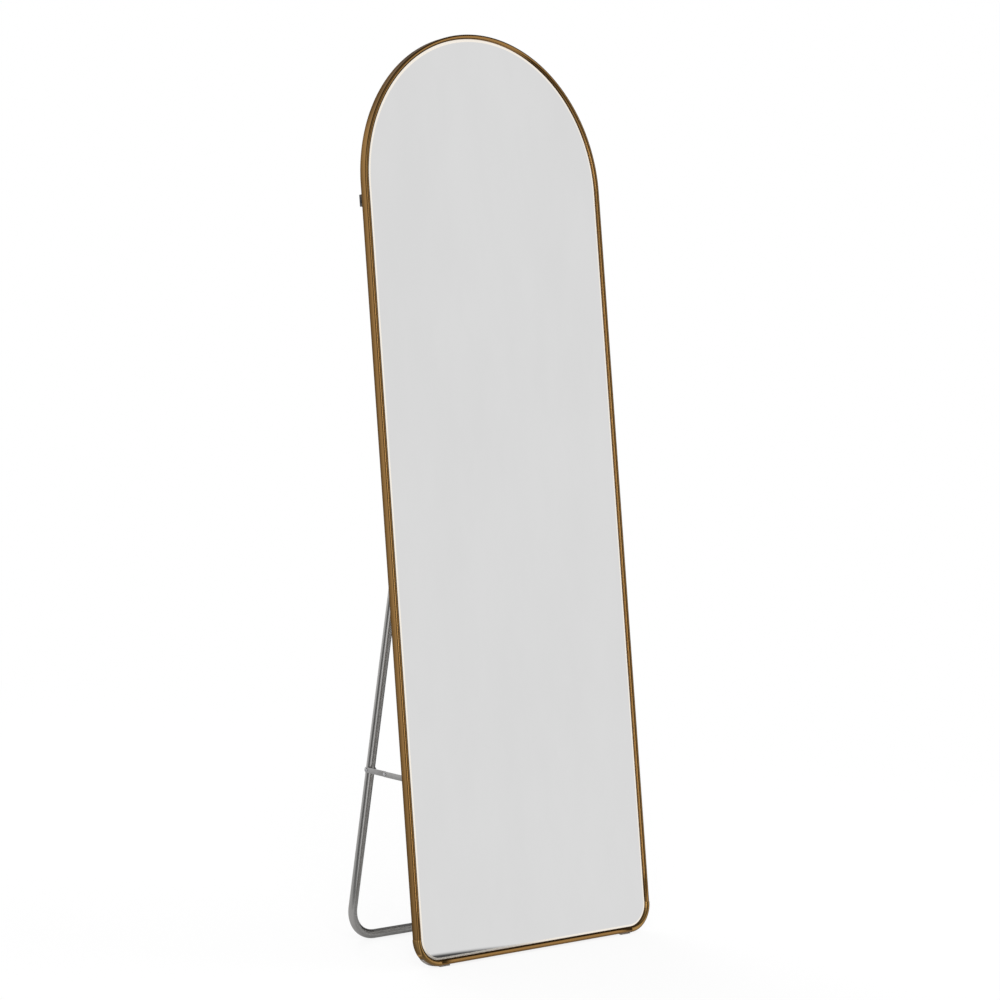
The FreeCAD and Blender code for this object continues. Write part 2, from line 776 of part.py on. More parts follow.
def screw_holes(sketch, bracket, base):
    for height in bracket_screw_heights()[bracket]:
        add_circle(sketch, (dims.screw_depth, height - base), dims.screw_hole_radius)


def make_brace_bracket():
    foot = SIZES["brace_foot_height"]
    body = new_body("brace_bracket_left", plate_place(foot))
    outline = new_sketch(body, "YZ_Plane")
    front = dims.box_front + dims.bracket_gap
    edge = dims.brace_foot_depth + dims.bar_width / 2
    add_outline(outline, [(front, -dims.bracket_drop, 0),
                          (dims.frame_depth, -dims.bracket_drop, SIZES["bracket_corner"]),
                          (dims.frame_depth, -dims.brace_neck_drop, 0),
                          (edge, -dims.brace_shoulder_drop, 0),
                          (edge, dims.bar_width / 2, 2 * SIZES["bracket_corner"]),
                          (front, dims.bar_width / 2, 0)])
    add_circle(outline, (dims.brace_foot_depth, 0), dims.brace_pin_radius)
    screw_holes(outline, "brace_bracket", foot)
    extrude(body, outline, dims.plate_thickness)
    return body


def make_hinge_bracket():
    """Lip on the frame's rear box, strap over the board and ear beside the leg."""
    hinge = SIZES["hinge_height"]
    body = new_body("hinge_bracket_left", plate_place(hinge))
    reach = wall_place() - SIZES["ear_place"]
    low, high = -dims.bracket_drop, -dims.lip_top_drop
    strap_low, strap_high = -dims.strap_low_drop, -dims.strap_high_drop
    front = dims.box_front + dims.bracket_gap
    back, corner = dims.frame_depth - dims.bracket_gap, SIZES["bracket_corner"]
    lip = new_sketch(body, "YZ_Plane")
    add_outline(lip, [(front, low, 0), (back, low, corner), (back, high, corner), (front, high, 0)])
    screw_holes(lip, "hinge_bracket", hinge)
    extrude(body, lip, dims.plate_thickness)
    strap = new_sketch(body, "YZ_Plane")
    add_rectangle(strap, (front, strap_low), (front + dims.plate_thickness, strap_high))
    extrude(body, strap, Size.of(reach))
    ear = new_sketch(body, "YZ_Plane", Size.of(reach) - dims.plate_thickness)
    edge = dims.hinge_depth + dims.ear_margin
    add_outline(ear, [(front, strap_low, 0), (front + dims.ear_foot, strap_low, 0),
                      (edge, -dims.ear_low_drop, 0),
                      (edge, dims.ear_margin, SIZES["ear_margin"] - 1),
                      (front + dims.ear_foot, dims.ear_margin, 0), (front, strap_high, 0)])
    add_circle(ear, (dims.hinge_depth, 0), dims.hinge_hole_radius)
    extrude(body, ear, dims.plate_thickness)
    return body


def make_hanger():
    """Angle with a keyhole, which hangs the mirror on a wall clear of the folded stand."""
    base = SIZES["hanger_height"]
    body = new_body("hanger_left", plate_place(base))
    plate = new_sketch(body, "YZ_Plane")
    front = dims.box_front + dims.bracket_gap
    add_outline(plate, [(front, 0, 0), (dims.hanger_depth, 0, 0),
                        (dims.hanger_depth, dims.hanger_length, 0), (front, dims.hanger_length, 0)])
    screw_holes(plate, "hanger", base)
    add_circle(plate, ((dims.frame_depth + dims.hanger_depth) / 2, dims.hanger_hole_height),
               dims.hanger_hole_radius)
    extrude(body, plate, dims.plate_thickness)
    flange = new_sketch(body, "XZ_Plane", -dims.hanger_depth)
    add_rectangle(flange, (0, 0), (dims.hanger_flange, dims.hanger_length),
                  SIZES["bracket_corner"])
    extrude(body, flange, dims.plate_thickness)
    middle = (dims.hanger_flange + dims.plate_thickness) / 2
    for hole in ("entry", "slot"):
        cut = new_sketch(body, "XZ_Plane", -dims.hanger_depth)
        if hole == "entry":
            add_circle(cut, (middle, dims.keyhole_height), dims.keyhole_radius)
        else:
            slot_top = (dims.keyhole_height + dims.keyhole_slot_length
                        + dims.keyhole_slot_radius)
            add_rectangle(cut, (middle - dims.keyhole_slot_radius, dims.keyhole_height),
                          (middle + dims.keyhole_slot_radius, slot_top))
        pocket(body, cut, dims.plate_thickness + 1, midplane=True)
    return body


# -------------------------------------------------------------------------- fasteners

def pan_screw(length):
    """Pan-head screw along -X from the underside of its head, with a cross recess."""
    height = SIZES["screw_head_height"]
    radius = SIZES["screw_head_radius"]
    head = Part.makeCylinder(radius, height, Vector(0, 0, 0), Vector(1, 0, 0))
    rim = max(head.Edges, key=lambda edge: edge.BoundBox.XMin)
    head = head.makeFillet(height * 0.6, [rim])
    wide, long = SIZES["recess_width"], SIZES["recess_length"]
    floor = height - SIZES["recess_depth"]
    for across, up in ((wide, long), (long, wide)):
        head = head.cut(Part.makeBox(height, across, up, Vector(floor, -across / 2, -up / 2)))
    shank = Part.makeCylinder(SIZES["screw_radius"], length, Vector(0, 0, 0), Vector(-1, 0, 0))
    return head.fuse(shank).removeSplitter()


def make_bracket_screws(bracket):
    """The screws of one kind of bracket, on both sides."""
    inner = wall_place() - SIZES["plate_thickness"]
    shapes = []
    for height in bracket_screw_heights()[bracket]:
        screw = pan_screw(SIZES["plate_thickness"] + 2.0)
        screw.translate(Vector(0, SIZES["screw_depth"], height))
        shapes += both_sides(screw, inner)
    return group(bracket + "_screws", shapes, on_mirror())


def make_corner_screws():
    """Flush screws through the back of the rails into the corner pieces' keys."""
    radius = SIZES["key_screw_radius"]
    middle = box_middle().value
    post_height = SIZES["corner_radius"] + SIZES["key_screw_place"]
    rail_place = HALF_WIDTH - post_height
    shapes = []
    for across, height in ((HALF_WIDTH - middle, post_height), (rail_place, middle)):
        screw = Part.makeCylinder(radius, SIZES["key_screw_length"],
                                  Vector(0, SIZES["frame_depth"], height), Vector(0, -1, 0))
        shapes += both_sides(screw, across)
    return group("corner_screws", shapes, on_mirror())


def make_hinge_hardware():
    """Bolt, spacer and nut of each of the stand's two pivots."""
    start = SIZES["ear_place"] - SIZES["hinge_bolt_end"]
    outer = SIZES["leg_place"] + SIZES["tube_radius"] + SIZES["running_gap"]
    axis = Vector(-1, 0, 0)
    bolt = Part.makeCylinder(SIZES["hinge_pin_radius"], outer - start, Vector(0, 0, 0), axis)
    head = Part.makeCylinder(SIZES["hinge_head_radius"], SIZES["hinge_head_height"],
                             Vector(start - outer, 0, 0), axis)
    rim = min(head.Edges, key=lambda edge: edge.BoundBox.XMax)
    bolt = bolt.fuse(head.makeFillet(SIZES["hinge_head_round"], [rim])).removeSplitter()
    place = on_mirror(0, SIZES["hinge_depth"], SIZES["hinge_height"])
    bolts = group("hinge_bolts", both_sides(bolt, start), place)
    ear_face = SIZES["ear_place"] + SIZES["plate_thickness"]
    width = SIZES["leg_place"] - SIZES["tube_radius"] - SIZES["running_gap"] - ear_face
    spacer = Part.makeCylinder(SIZES["spacer_radius"], width, Vector(0, 0, 0), axis).cut(
        Part.makeCylinder(SIZES["hinge_hole_radius"], width, Vector(0, 0, 0), axis))
    spacers = group("hinge_spacers", both_sides(spacer, ear_face), place)
    hinge_nut = nut(SIZES["hinge_nut_flats"], SIZES["hinge_pin_radius"],
                    SIZES["hinge_nut_thickness"])
    nuts = group("hinge_nuts", both_sides(hinge_nut, SIZES["ear_place"]), place)
    return [bolts, spacers, nuts]


def make_leg_nuts():
    inner = SIZES["leg_place"] - SIZES["tube_radius"]
    leg_nut = nut(SIZES["leg_nut_flats"], SIZES["brace_pin_radius"], SIZES["leg_nut_thickness"])
    return group("brace_leg_nuts", both_sides(leg_nut, inner),
                 on_mirror(0, BRACE_P[1], BRACE_P[0]))


# --------------------------------------------------------------------------- assembly

def build():
    write_sheet()
    left = [make_corner(), make_foot_pad(), make_tube_plug(), *make_brace_bars(),
            *make_knee_rivets(), make_leg_bolt(), make_frame_pin(), make_brace_bracket(),
            make_hinge_bracket(), make_hanger()]
    right = [right_hand(piece, piece.Label.replace("left", "right")) for piece in left]
    strip_front = dims.bead_depth
    glass_front = strip_front + dims.strip_thickness
    film_front = glass_front + dims.glass_thickness
    board_front = film_front + dims.film_thickness
    middle = [make_frame_arch(), make_bottom_rail(),
              make_plate("glazing_strip", strip_front, dims.strip_thickness,
                         dims.glass_edge, dims.strip_inner_edge),
              make_glass(glass_front),
              make_plate("safety_film", film_front, dims.film_thickness),
              make_plate("back_board", board_front, dims.board_thickness),
              make_stand_tube(), make_leg_nuts(), make_corner_screws(),
              *make_hinge_hardware()]
    screws = [make_bracket_screws(bracket) for bracket in bracket_screw_heights()]
    return left + right + middle + screws


def check(pieces):
    doc.recompute()
    for thing in doc.Objects:
        if "Invalid" in thing.State or "Error" in thing.State:
            raise RuntimeError(f"{thing.Label} failed: {thing.State}")
    for piece in pieces:
        if piece.Shape.isNull() or not piece.Shape.isValid() or not piece.Shape.Solids:
            raise RuntimeError(f"{piece.Label} has no valid solid")


def export(pieces):
    os.makedirs("parts", exist_ok=True)
    for piece in pieces:
        piece.Shape.exportStep(os.path.join("parts", piece.Label + ".step"))


parts = build()
check(parts)
export(parts)
print(f"{len(parts)} pieces written")
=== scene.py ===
# %% [markdown]
# # Arched floor mirror on a fold-out stand
#
# A tall mirror with a round top stands on two soft pads and a bent steel tube. A slim gold
# frame, made of one long bent bar, a short bottom bar and two corner pieces, holds the
# glass. Behind it a U-shaped tube is hinged to the frame, and a small folding brace on each
# side keeps it open. This lesson dresses the exact model of that mirror: it loads the
# model, builds smoother and richer pieces in the same places, and gives each one a finish.

# %% Load the model
import json
import math

import bmesh
import bpy
from mathutils import Matrix, Vector


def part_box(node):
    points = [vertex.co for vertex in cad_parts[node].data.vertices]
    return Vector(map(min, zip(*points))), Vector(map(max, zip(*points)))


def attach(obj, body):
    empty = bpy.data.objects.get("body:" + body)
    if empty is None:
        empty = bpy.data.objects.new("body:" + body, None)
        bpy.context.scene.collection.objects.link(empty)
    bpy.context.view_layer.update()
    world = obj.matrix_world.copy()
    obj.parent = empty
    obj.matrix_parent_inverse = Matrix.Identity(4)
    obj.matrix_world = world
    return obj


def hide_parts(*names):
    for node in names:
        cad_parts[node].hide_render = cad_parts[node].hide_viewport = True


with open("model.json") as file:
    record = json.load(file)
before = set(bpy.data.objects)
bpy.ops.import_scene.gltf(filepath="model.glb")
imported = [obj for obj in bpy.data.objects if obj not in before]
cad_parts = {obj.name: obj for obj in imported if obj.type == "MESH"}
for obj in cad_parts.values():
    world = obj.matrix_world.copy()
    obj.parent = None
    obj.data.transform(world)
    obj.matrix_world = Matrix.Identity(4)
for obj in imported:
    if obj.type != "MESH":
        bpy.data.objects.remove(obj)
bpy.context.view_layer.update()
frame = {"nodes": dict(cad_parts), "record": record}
print("pieces in the model:", len(frame["nodes"]))

# %% [markdown]
# ## Where things are
#
# A mirror maker thinks across the mirror (u), up the mirror (v) and back from its front
# face (n). The mirror is tipped back, so one matrix turns these into places in the room.
# A second matrix does the same for the stand, whose own zero is its hinge. Both matrices
# use x across, y up and z towards the viewer, and their places come from the model.

# %% Sizes and the two frames of reference
MM = 0.001
WIDTH = 558 * MM
HEIGHT = 1650 * MM
LEAN = math.radians(10.5)
HALF = WIDTH / 2
SPRING = HEIGHT - HALF
CORNER_RADIUS = 50 * MM
FRAME_DEPTH = 17 * MM
OPEN_ANGLE = math.radians(17.3)
HINGE_HEIGHT = 670 * MM
HINGE_DEPTH = 22 * MM
TUBE_RADIUS = 8 * MM
LEG_PLACE = 262 * MM

joints = {joint["name"]: joint for joint in frame["record"]["behaviour"]["joints"]}
HINGE = Vector(joints["stand_fold"]["pos_m"])


def tipped(angle, origin):
    """Matrix of a plane tipped back by an angle: x across, y up the plane, z out of its front."""
    up = Vector((0, math.sin(angle), math.cos(angle)))
    front = Vector((0, -math.cos(angle), math.sin(angle)))
    matrix = Matrix((Vector((1, 0, 0)), up, front)).transposed().to_4x4()
    return Matrix.Translation(origin) @ matrix


mirror_turn = tipped(LEAN, Vector())
mirror_origin = HINGE - mirror_turn @ Vector((0, HINGE_HEIGHT, -HINGE_DEPTH))
MIRROR = tipped(LEAN, mirror_origin)
LEG_TILT = OPEN_ANGLE - LEAN
STAND = tipped(-LEG_TILT, HINGE)
LEG_LENGTH = (HINGE.z - TUBE_RADIUS) / math.cos(LEG_TILT)
print("mirror's zero:", [round(c, 4) for c in mirror_origin], "leg length:", round(LEG_LENGTH, 4))

# %% [markdown]
# ## A small language for finishes
#
# Every finish here is worked out by shader nodes, so it has detail at any distance. Node
# trees are tiring to write link by link. A wrapped socket with + - * reads like ordinary
# arithmetic instead, and one method adds any other node.

# %% Shader maths as expressions
class Signal:
    """A value in a node tree. Arithmetic on it adds Math nodes."""

    def __init__(self, finish, socket):
        self.finish = finish
        self.socket = socket

    def maths(self, operation, *operands):
        return self.finish.node("ShaderNodeMath", {"operation": operation},
                                dict(enumerate(operands)))

    def __add__(self, other):
        return self.maths("ADD", self, other)

    def __rsub__(self, other):
        return self.maths("SUBTRACT", other, self)

    def __mul__(self, other):
        return self.maths("MULTIPLY", self, other)

    __radd__ = __add__
    __rmul__ = __mul__

    def most(self, other):
        return self.maths("MAXIMUM", self, other)

    def between(self, low, high):
        """0 at or below low, 1 at or above high, smooth between them."""
        return self.finish.node("ShaderNodeMapRange", {"interpolation_type": "SMOOTHSTEP"},
                                {"Value": self, "From Min": low, "From Max": high})


class Finish:
    """A node tree under construction, of a material or of the world."""

    def __init__(self, owner):
        owner.use_nodes = True
        self.owner = owner
        self.tree = owner.node_tree
        self.tree.nodes.clear()

    def node(self, kind, settings=None, values=None, output=0):
        """Adds a node, sets it up, fills or links its sockets, and returns one output."""
        made = self.tree.nodes.new(kind)
        for name, setting in (settings or {}).items():
            setattr(made, name, setting)
        for name, value in (values or {}).items():
            if isinstance(value, Signal):
                self.tree.links.new(value.socket, made.inputs[name])
            else:
                made.inputs[name].default_value = value
        return Signal(self, made.outputs[output]) if made.outputs else made

    def place(self, scale=(1, 1, 1), source="Object"):
        """Object coordinates, or the piece's own finish map, stretched by a scale."""
        if source == "Object":
            where = self.node("ShaderNodeTexCoord", output="Object")
        else:
            where = self.node("ShaderNodeUVMap", {"uv_map": source})
        return self.node("ShaderNodeMapping", None, {"Vector": where, "Scale": scale})

    def noise(self, where, scale=1.0, detail=2.0, roughness=0.5):
        return self.node("ShaderNodeTexNoise", None, {
            "Vector": where, "Scale": scale, "Detail": detail, "Roughness": roughness})

    def blend(self, amount, low, high):
        """A colour between two colours."""
        return self.node("ShaderNodeMix", {"data_type": "RGBA"},
                         {0: amount, 6: colour4(low), 7: colour4(high)}, output=2)

    def bump(self, height, distance, strength=1.0):
        return self.node("ShaderNodeBump", None, {
            "Height": height, "Distance": distance, "Strength": strength})

    def surface(self, values):
        shader = self.node("ShaderNodeBsdfPrincipled", None, values)
        self.node("ShaderNodeOutputMaterial", None, {"Surface": shader})
        return self.owner


def colour4(colour):
    return colour if isinstance(colour, Signal) else (*colour, 1)


def new_finish(name):
    return Finish(bpy.data.materials.new(name))


print("finish language ready")

# %% [markdown]
# ## Gold for the frame
#
# The frame bars are extruded aluminium, anodised to a bronze gold. An extrusion always
# carries faint lines along its length, from the die it was pushed through, and the lines
# follow the bend of the arch. Each swept piece therefore carries its own map, with metres
# along the bar in one direction and metres round its section in the other, and the lines
# are a noise that is stretched on that map. The corner pieces are cast and polished, so
# their grain has no direction.

# %% Anodised gold
GOLD = (0.37, 0.212, 0.075)
GOLD_DEEP = (0.275, 0.145, 0.045)
GOLD_WARM = (0.44, 0.265, 0.088)
SWEPT_MAP = "along_and_round"


def gold_frame():
    f = new_finish("gold_frame")
    lines = f.noise(f.place((4, 4200, 1), SWEPT_MAP), detail=3, roughness=0.7)
    drift = f.noise(f.place((2.5, 90, 1), SWEPT_MAP), detail=2)
    marks = f.noise(f.place((160, 420, 1), SWEPT_MAP), detail=4, roughness=0.65)
    tone = (lines * 0.55 + drift * 0.45).between(0.3, 0.7)
    return f.surface({
        "Base Color": f.blend(tone, GOLD_DEEP, GOLD),
        "Metallic": 1.0,
        "Roughness": 0.1 + lines * 0.1 + marks.between(0.6, 0.8) * 0.08,
        "Normal": f.bump(lines, 0.00002, 0.6),
    })


def gold_corner():
    f = new_finish("gold_corner")
    grain = f.noise(f.place(), scale=1400, detail=3)
    cloud = f.noise(f.place(), scale=55, detail=3)
    return f.surface({
        "Base Color": f.blend((grain * 0.4 + cloud * 0.6).between(0.3, 0.7), GOLD, GOLD_WARM),
        "Metallic": 1.0,
        "Roughness": 0.17 + grain * 0.1,
        "Normal": f.bump(grain, 0.00002, 0.5),
    })


GOLD_FRAME = gold_frame()
GOLD_CORNER = gold_corner()
print("gold finishes:", GOLD_FRAME.name, GOLD_CORNER.name)

# %% [markdown]
# ## Steel, zinc and powder coat
#
# The stand is drawn steel tube with a satin finish: drawing leaves streaks along the tube
# and a slow change of tone round it. The brace bars are flat steel, brushed along their
# length. The small fasteners are zinc plated, which clouds in patches. The brackets are
# powder coated, and such a coat has a fine skin like an orange's.

# %% Metals
STEEL = (0.47, 0.46, 0.45)
STEEL_DARK = (0.36, 0.355, 0.345)


def steel_tube():
    f = new_finish("steel_tube")
    streaks = f.noise(f.place((5, 2600, 1), SWEPT_MAP), detail=4, roughness=0.65)
    drift = f.noise(f.place((3, 60, 1), SWEPT_MAP), detail=2)
    scuffs = f.noise(f.place((300, 900, 1), SWEPT_MAP), detail=5, roughness=0.7)
    return f.surface({
        "Base Color": f.blend((streaks * 0.5 + drift * 0.5).between(0.3, 0.7), STEEL_DARK, STEEL),
        "Metallic": 1.0,
        "Roughness": 0.17 + streaks * 0.12 + scuffs.between(0.62, 0.8) * 0.1,
        "Normal": f.bump(streaks, 0.00002, 0.7),
    })


def brushed_steel(name, tone, darker):
    """Flat steel whose brush lines run along the brace, front to back."""
    f = new_finish(name)
    lines = f.noise(f.place((2500, 60, 5200)), detail=4, roughness=0.65)
    cloud = f.noise(f.place(), scale=70, detail=3)
    return f.surface({
        "Base Color": f.blend((lines * 0.6 + cloud * 0.4).between(0.3, 0.7), darker, tone),
        "Metallic": 1.0,
        "Roughness": 0.28 + lines * 0.16,
        "Normal": f.bump(lines, 0.00002, 0.8),
    })


def plated(name, tone, darker, roughness):
    """Zinc or nickel plate with soft clouds in its tone and shine."""
    f = new_finish(name)
    cloud = f.noise(f.place(), scale=420, detail=4, roughness=0.6)
    return f.surface({
        "Base Color": f.blend(cloud.between(0.35, 0.65), darker, tone),
        "Metallic": 1.0,
        "Roughness": roughness + cloud * 0.14,
        "Normal": f.bump(cloud, 0.00002, 0.5),
    })


def powder_coat(name, tone, roughness):
    """A black skin with a little pale dust on it."""
    f = new_finish(name)
    peel = f.noise(f.place(), scale=900, detail=2)
    dust = f.noise(f.place(), scale=90, detail=4).between(0.55, 0.8)
    return f.surface({
        "Base Color": f.blend(dust * 0.35, tone, (0.09, 0.088, 0.085)),
        "Roughness": roughness + peel * 0.16,
        "Normal": f.bump(peel, 0.00008, 0.5),
    })


STEEL_TUBE = steel_tube()
FLAT_STEEL = brushed_steel("flat_steel", (0.46, 0.455, 0.45), (0.34, 0.335, 0.33))
BRIGHT = plated("bright_fastener", (0.66, 0.66, 0.67), (0.5, 0.5, 0.52), 0.16)
ZINC = plated("zinc_screw", (0.62, 0.62, 0.6), (0.44, 0.44, 0.45), 0.24)
BLACK_COAT = powder_coat("black_bracket", (0.016, 0.016, 0.017), 0.38)
BLACK_SCREW = powder_coat("black_screw", (0.02, 0.02, 0.021), 0.3)
print("metals:", STEEL_TUBE.name, FLAT_STEEL.name, BRIGHT.name, ZINC.name, BLACK_COAT.name)

# %% [markdown]
# ## Glass, board and soft parts
#
# A mirror shows only what stands round it, so its own finish is nearly nothing: silver
# behind clear glass, a touch grey, with faint wipe marks that change its shine by a hair.
# Its ground rim is paler and warmer than the glass, a painted highlight that reads as a thin
# bright line. The board behind is painted hardboard with short fibres, the pads are rubber,
# and small parts are moulded plastic.

# %% Glass and its rim
SILVER = (0.705, 0.705, 0.705)
SILVER_WIPED = (0.685, 0.685, 0.685)


def silvered_glass():
    f = new_finish("silvered_glass")
    wipes = f.noise(f.place((9, 9, 3)), detail=4, roughness=0.6)
    return f.surface({
        "Base Color": f.blend(wipes.between(0.2, 0.8), SILVER_WIPED, SILVER),
        "Metallic": 1.0,
        "Roughness": 0.012 + wipes * 0.014,
    })


# The bevel is real; its colour, paler and warmer than the silvered glass, is a painted highlight.
def ground_rim():
    f = new_finish("ground_rim")
    lines = f.noise(f.place((700, 700, 700)), detail=2)
    return f.surface({
        "Base Color": f.blend(lines, (0.9, 0.84, 0.75), (0.95, 0.89, 0.81)),
        "Metallic": 1.0,
        "Roughness": 0.1 + lines * 0.08,
    })


SILVERED = silvered_glass()
RIM = ground_rim()
print("glass:", SILVERED.name, RIM.name)


# %% Board and soft parts
def hardboard():
    f = new_finish("back_board")
    fibres = f.noise(f.place((900, 260, 120)), detail=5, roughness=0.7)
    flecks = f.noise(f.place((2600, 900, 500)), detail=2).between(0.62, 0.72)
    cloud = f.noise(f.place(), scale=6, detail=4)
    paint = f.blend((fibres * 0.6 + cloud * 0.4).between(0.3, 0.7),
                    (0.40, 0.395, 0.385), (0.50, 0.495, 0.485))
    return f.surface({
        "Base Color": f.blend(flecks * 0.5, paint, (0.30, 0.28, 0.25)),
        "Roughness": 0.6 + fibres * 0.2,
        "Normal": f.bump(fibres, 0.00015, 0.5),
    })


def soft(name, tone, darker, scale, roughness, depth):
    """A plain rubber, foam or moulded surface with a fine grain."""
    f = new_finish(name)
    grain = f.noise(f.place(), scale=scale, detail=3)
    cloud = f.noise(f.place(), scale=scale / 18, detail=3)
    return f.surface({
        "Base Color": f.blend((grain * 0.4 + cloud * 0.6).between(0.3, 0.7), darker, tone),
        "Roughness": roughness + grain * 0.12,
        "Normal": f.bump(grain, depth, 0.6),
    })


BOARD = hardboard()
RUBBER = soft("grey_rubber", (0.34, 0.31, 0.28), (0.25, 0.225, 0.2), 1500, 0.6, 0.0001)
STRIP = soft("soft_strip", (0.035, 0.035, 0.035), (0.02, 0.02, 0.02), 1800, 0.75, 0.0001)
FILM = soft("safety_film", (0.74, 0.75, 0.77), (0.66, 0.67, 0.7), 600, 0.5, 0.00002)
PLASTIC = soft("black_plastic", (0.022, 0.022, 0.023), (0.014, 0.014, 0.015), 2400, 0.34, 0.00003)
NYLON = soft("white_nylon", (0.76, 0.75, 0.7), (0.68, 0.67, 0.62), 1200, 0.36, 0.00003)
print("soft parts:", BOARD.name, RUBBER.name, STRIP.name, FILM.name, PLASTIC.name, NYLON.name)

# %% [markdown]
# ## Sweeping a section along a path
#
# The frame bars and the stand are each one section that follows a path, so one Geometry
# Nodes tree makes them all. It notes how far along the path and how far round the section
# each point is, which becomes the map that the metal finishes read. A path here lies in
# its plane, and its section hangs on the right-hand side of the way it runs.

# %% The sweep tree
def node_tree(name, inputs):
    """A Geometry Nodes tree with a geometry in and out, and named inputs."""
    tree = bpy.data.node_groups.new(name, "GeometryNodeTree")
    tree.interface.new_socket("Geometry", in_out="OUTPUT", socket_type="NodeSocketGeometry")
    for label, kind in (("Geometry", "NodeSocketGeometry"), *inputs):
        tree.interface.new_socket(label, in_out="INPUT", socket_type=kind)
    return tree, tree.nodes.new("NodeGroupInput"), tree.nodes.new("NodeGroupOutput")


def chain(tree, kind, links, **settings):
    """Adds a node and links sockets into it."""
    made = tree.nodes.new(kind)
    for name, setting in settings.items():
        setattr(made, name, setting)
    for socket, source in links.items():
        tree.links.new(source, made.inputs[socket])
    return made


def measured(tree, curve):
    """The curve with each point's distance along it noted."""
    length = chain(tree, "GeometryNodeSplineParameter", {})
    note = chain(tree, "GeometryNodeCaptureAttribute", {"Geometry": curve})
    note.capture_items.new("FLOAT", "Distance")
    tree.links.new(length.outputs["Length"], note.inputs["Distance"])
    return note.outputs["Geometry"], note.outputs["Distance"]


def make_sweep_tree():
    tree, given, out = node_tree("sweep", (
        ("Section", "NodeSocketObject"), ("Finish", "NodeSocketMaterial")))
    section = chain(tree, "GeometryNodeObjectInfo", {"Object": given.outputs["Section"]})
    path, along = measured(tree, given.outputs["Geometry"])
    ring, around = measured(tree, section.outputs["Geometry"])
    mesh = chain(tree, "GeometryNodeCurveToMesh", {"Curve": path, "Profile Curve": ring})
    mesh.inputs["Fill Caps"].default_value = True
    both = chain(tree, "ShaderNodeCombineXYZ", {"X": along, "Y": around})
    noted = chain(tree, "GeometryNodeStoreNamedAttribute",
                  {"Geometry": mesh.outputs["Mesh"], "Value": both.outputs["Vector"]},
                  data_type="FLOAT2", domain="CORNER")
    noted.inputs["Name"].default_value = SWEPT_MAP
    solid = chain(tree, "GeometryNodeRealizeInstances", {"Geometry": noted.outputs["Geometry"]})
    dressed = chain(tree, "GeometryNodeSetMaterial",
                    {"Geometry": solid.outputs["Geometry"], "Material": given.outputs["Finish"]})
    tree.links.new(dressed.outputs["Geometry"], out.inputs["Geometry"])
    return tree


SWEEP = make_sweep_tree()
print("sweep tree inputs:", [item.name for item in SWEEP.interface.items_tree])


# %% Turning a tree's result into a piece
CRISP = math.radians(35)


def set_input(modifier, label, value):
    """Sets a modifier's named input by its socket's identifier."""
    for item in modifier.node_group.interface.items_tree:
        if item.in_out == "INPUT" and item.name == label:
            modifier[item.identifier] = value


def link(thing):
    bpy.context.scene.collection.objects.link(thing)
    return thing


def mesh_of(shape, name):
    """Turns a finished bmesh into a mesh."""
    mesh = bpy.data.meshes.new(name)
    shape.to_mesh(mesh)
    shape.free()
    return mesh


def evaluated_mesh(source):
    """A plain mesh of an object as its modifiers leave it."""
    depsgraph = bpy.context.evaluated_depsgraph_get()
    return bpy.data.meshes.new_from_object(source.evaluated_get(depsgraph))


def polyline(name, points, closed=False):
    """A straight-segment curve through points (x, y) of its own plane."""
    curve = bpy.data.curves.new(name, "CURVE")
    curve.dimensions = "3D"
    curve.twist_mode = "Z_UP"
    spline = curve.splines.new("POLY")
    spline.points.add(len(points) - 1)
    for spot, (x, y) in zip(spline.points, points):
        spot.co = (x, y, 0, 1)
    spline.use_cyclic_u = closed
    return link(bpy.data.objects.new(name, curve))


def polish(piece, width):
    """Rounds every crisp edge by a width, and shades the piece smooth between the rest."""
    bevel = piece.modifiers.new("rounded", "BEVEL")
    bevel.width = width
    bevel.segments = 2
    bevel.limit_method = "ANGLE"
    bevel.angle_limit = CRISP
    mesh = evaluated_mesh(piece)
    piece.modifiers.clear()
    piece.data = mesh
    mesh.shade_smooth()
    mesh.set_sharp_from_angle(angle=CRISP)
    return piece


def settle(piece, body, slot, *nodes):
    """Says which body a piece rides on and what it stands for; slot, the name of its finish, is not
    used.
    """
    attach(piece, body)
    if nodes:
        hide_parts(*nodes)
    return piece


def swept(name, path, section, finish, place, edge, reshape=None):
    """A solid swept from a path and a closed section, as a plain mesh in its place."""
    spine = polyline(name + "_path", path)
    ring = polyline(name + "_section", section, closed=True)
    modifier = spine.modifiers.new("sweep", "NODES")
    modifier.node_group = SWEEP
    set_input(modifier, "Section", ring)
    set_input(modifier, "Finish", finish)
    mesh = evaluated_mesh(spine)
    if reshape:
        for point in mesh.vertices:
            point.co = reshape(point.co)
    mesh.transform(place)
    bpy.data.objects.remove(spine)
    bpy.data.objects.remove(ring)
    piece = link(bpy.data.objects.new(name, mesh))
    return polish(piece, edge)


# %% [markdown]
# ## The frame's section
#
# Seen from the end, a frame bar is a rounded bead that laps over the glass, a thin outer
# wall, and a narrow box along the back edge. The bead rises steeply from the outside and
# falls gently towards the glass, so it has no flat top and catches one thin line of light.

# %% Section and paths of the frame
BEAD_WIDTH = 8.3 * MM
RAIL_BEAD_WIDTH = 10 * MM
BEAD_DEPTH = 4 * MM
BEAD_ROUND = 3.6 * MM
LIP = 0.3 * MM
SIDE_WALL = 1.2 * MM
BOX_FRONT = 11 * MM
BOX_WIDTH = 4.4 * MM
BACK_ROUND = 0.6 * MM
CORNER_PROUD = 0.6 * MM
SEAM = 0.12 * MM


def arc(centre, radius, start, stop, steps):
    """Points along an arc, angles in degrees."""
    turns = [math.radians(start + (stop - start) * i / steps) for i in range(steps + 1)]
    return [(centre[0] + radius * math.cos(t), centre[1] + radius * math.sin(t)) for t in turns]


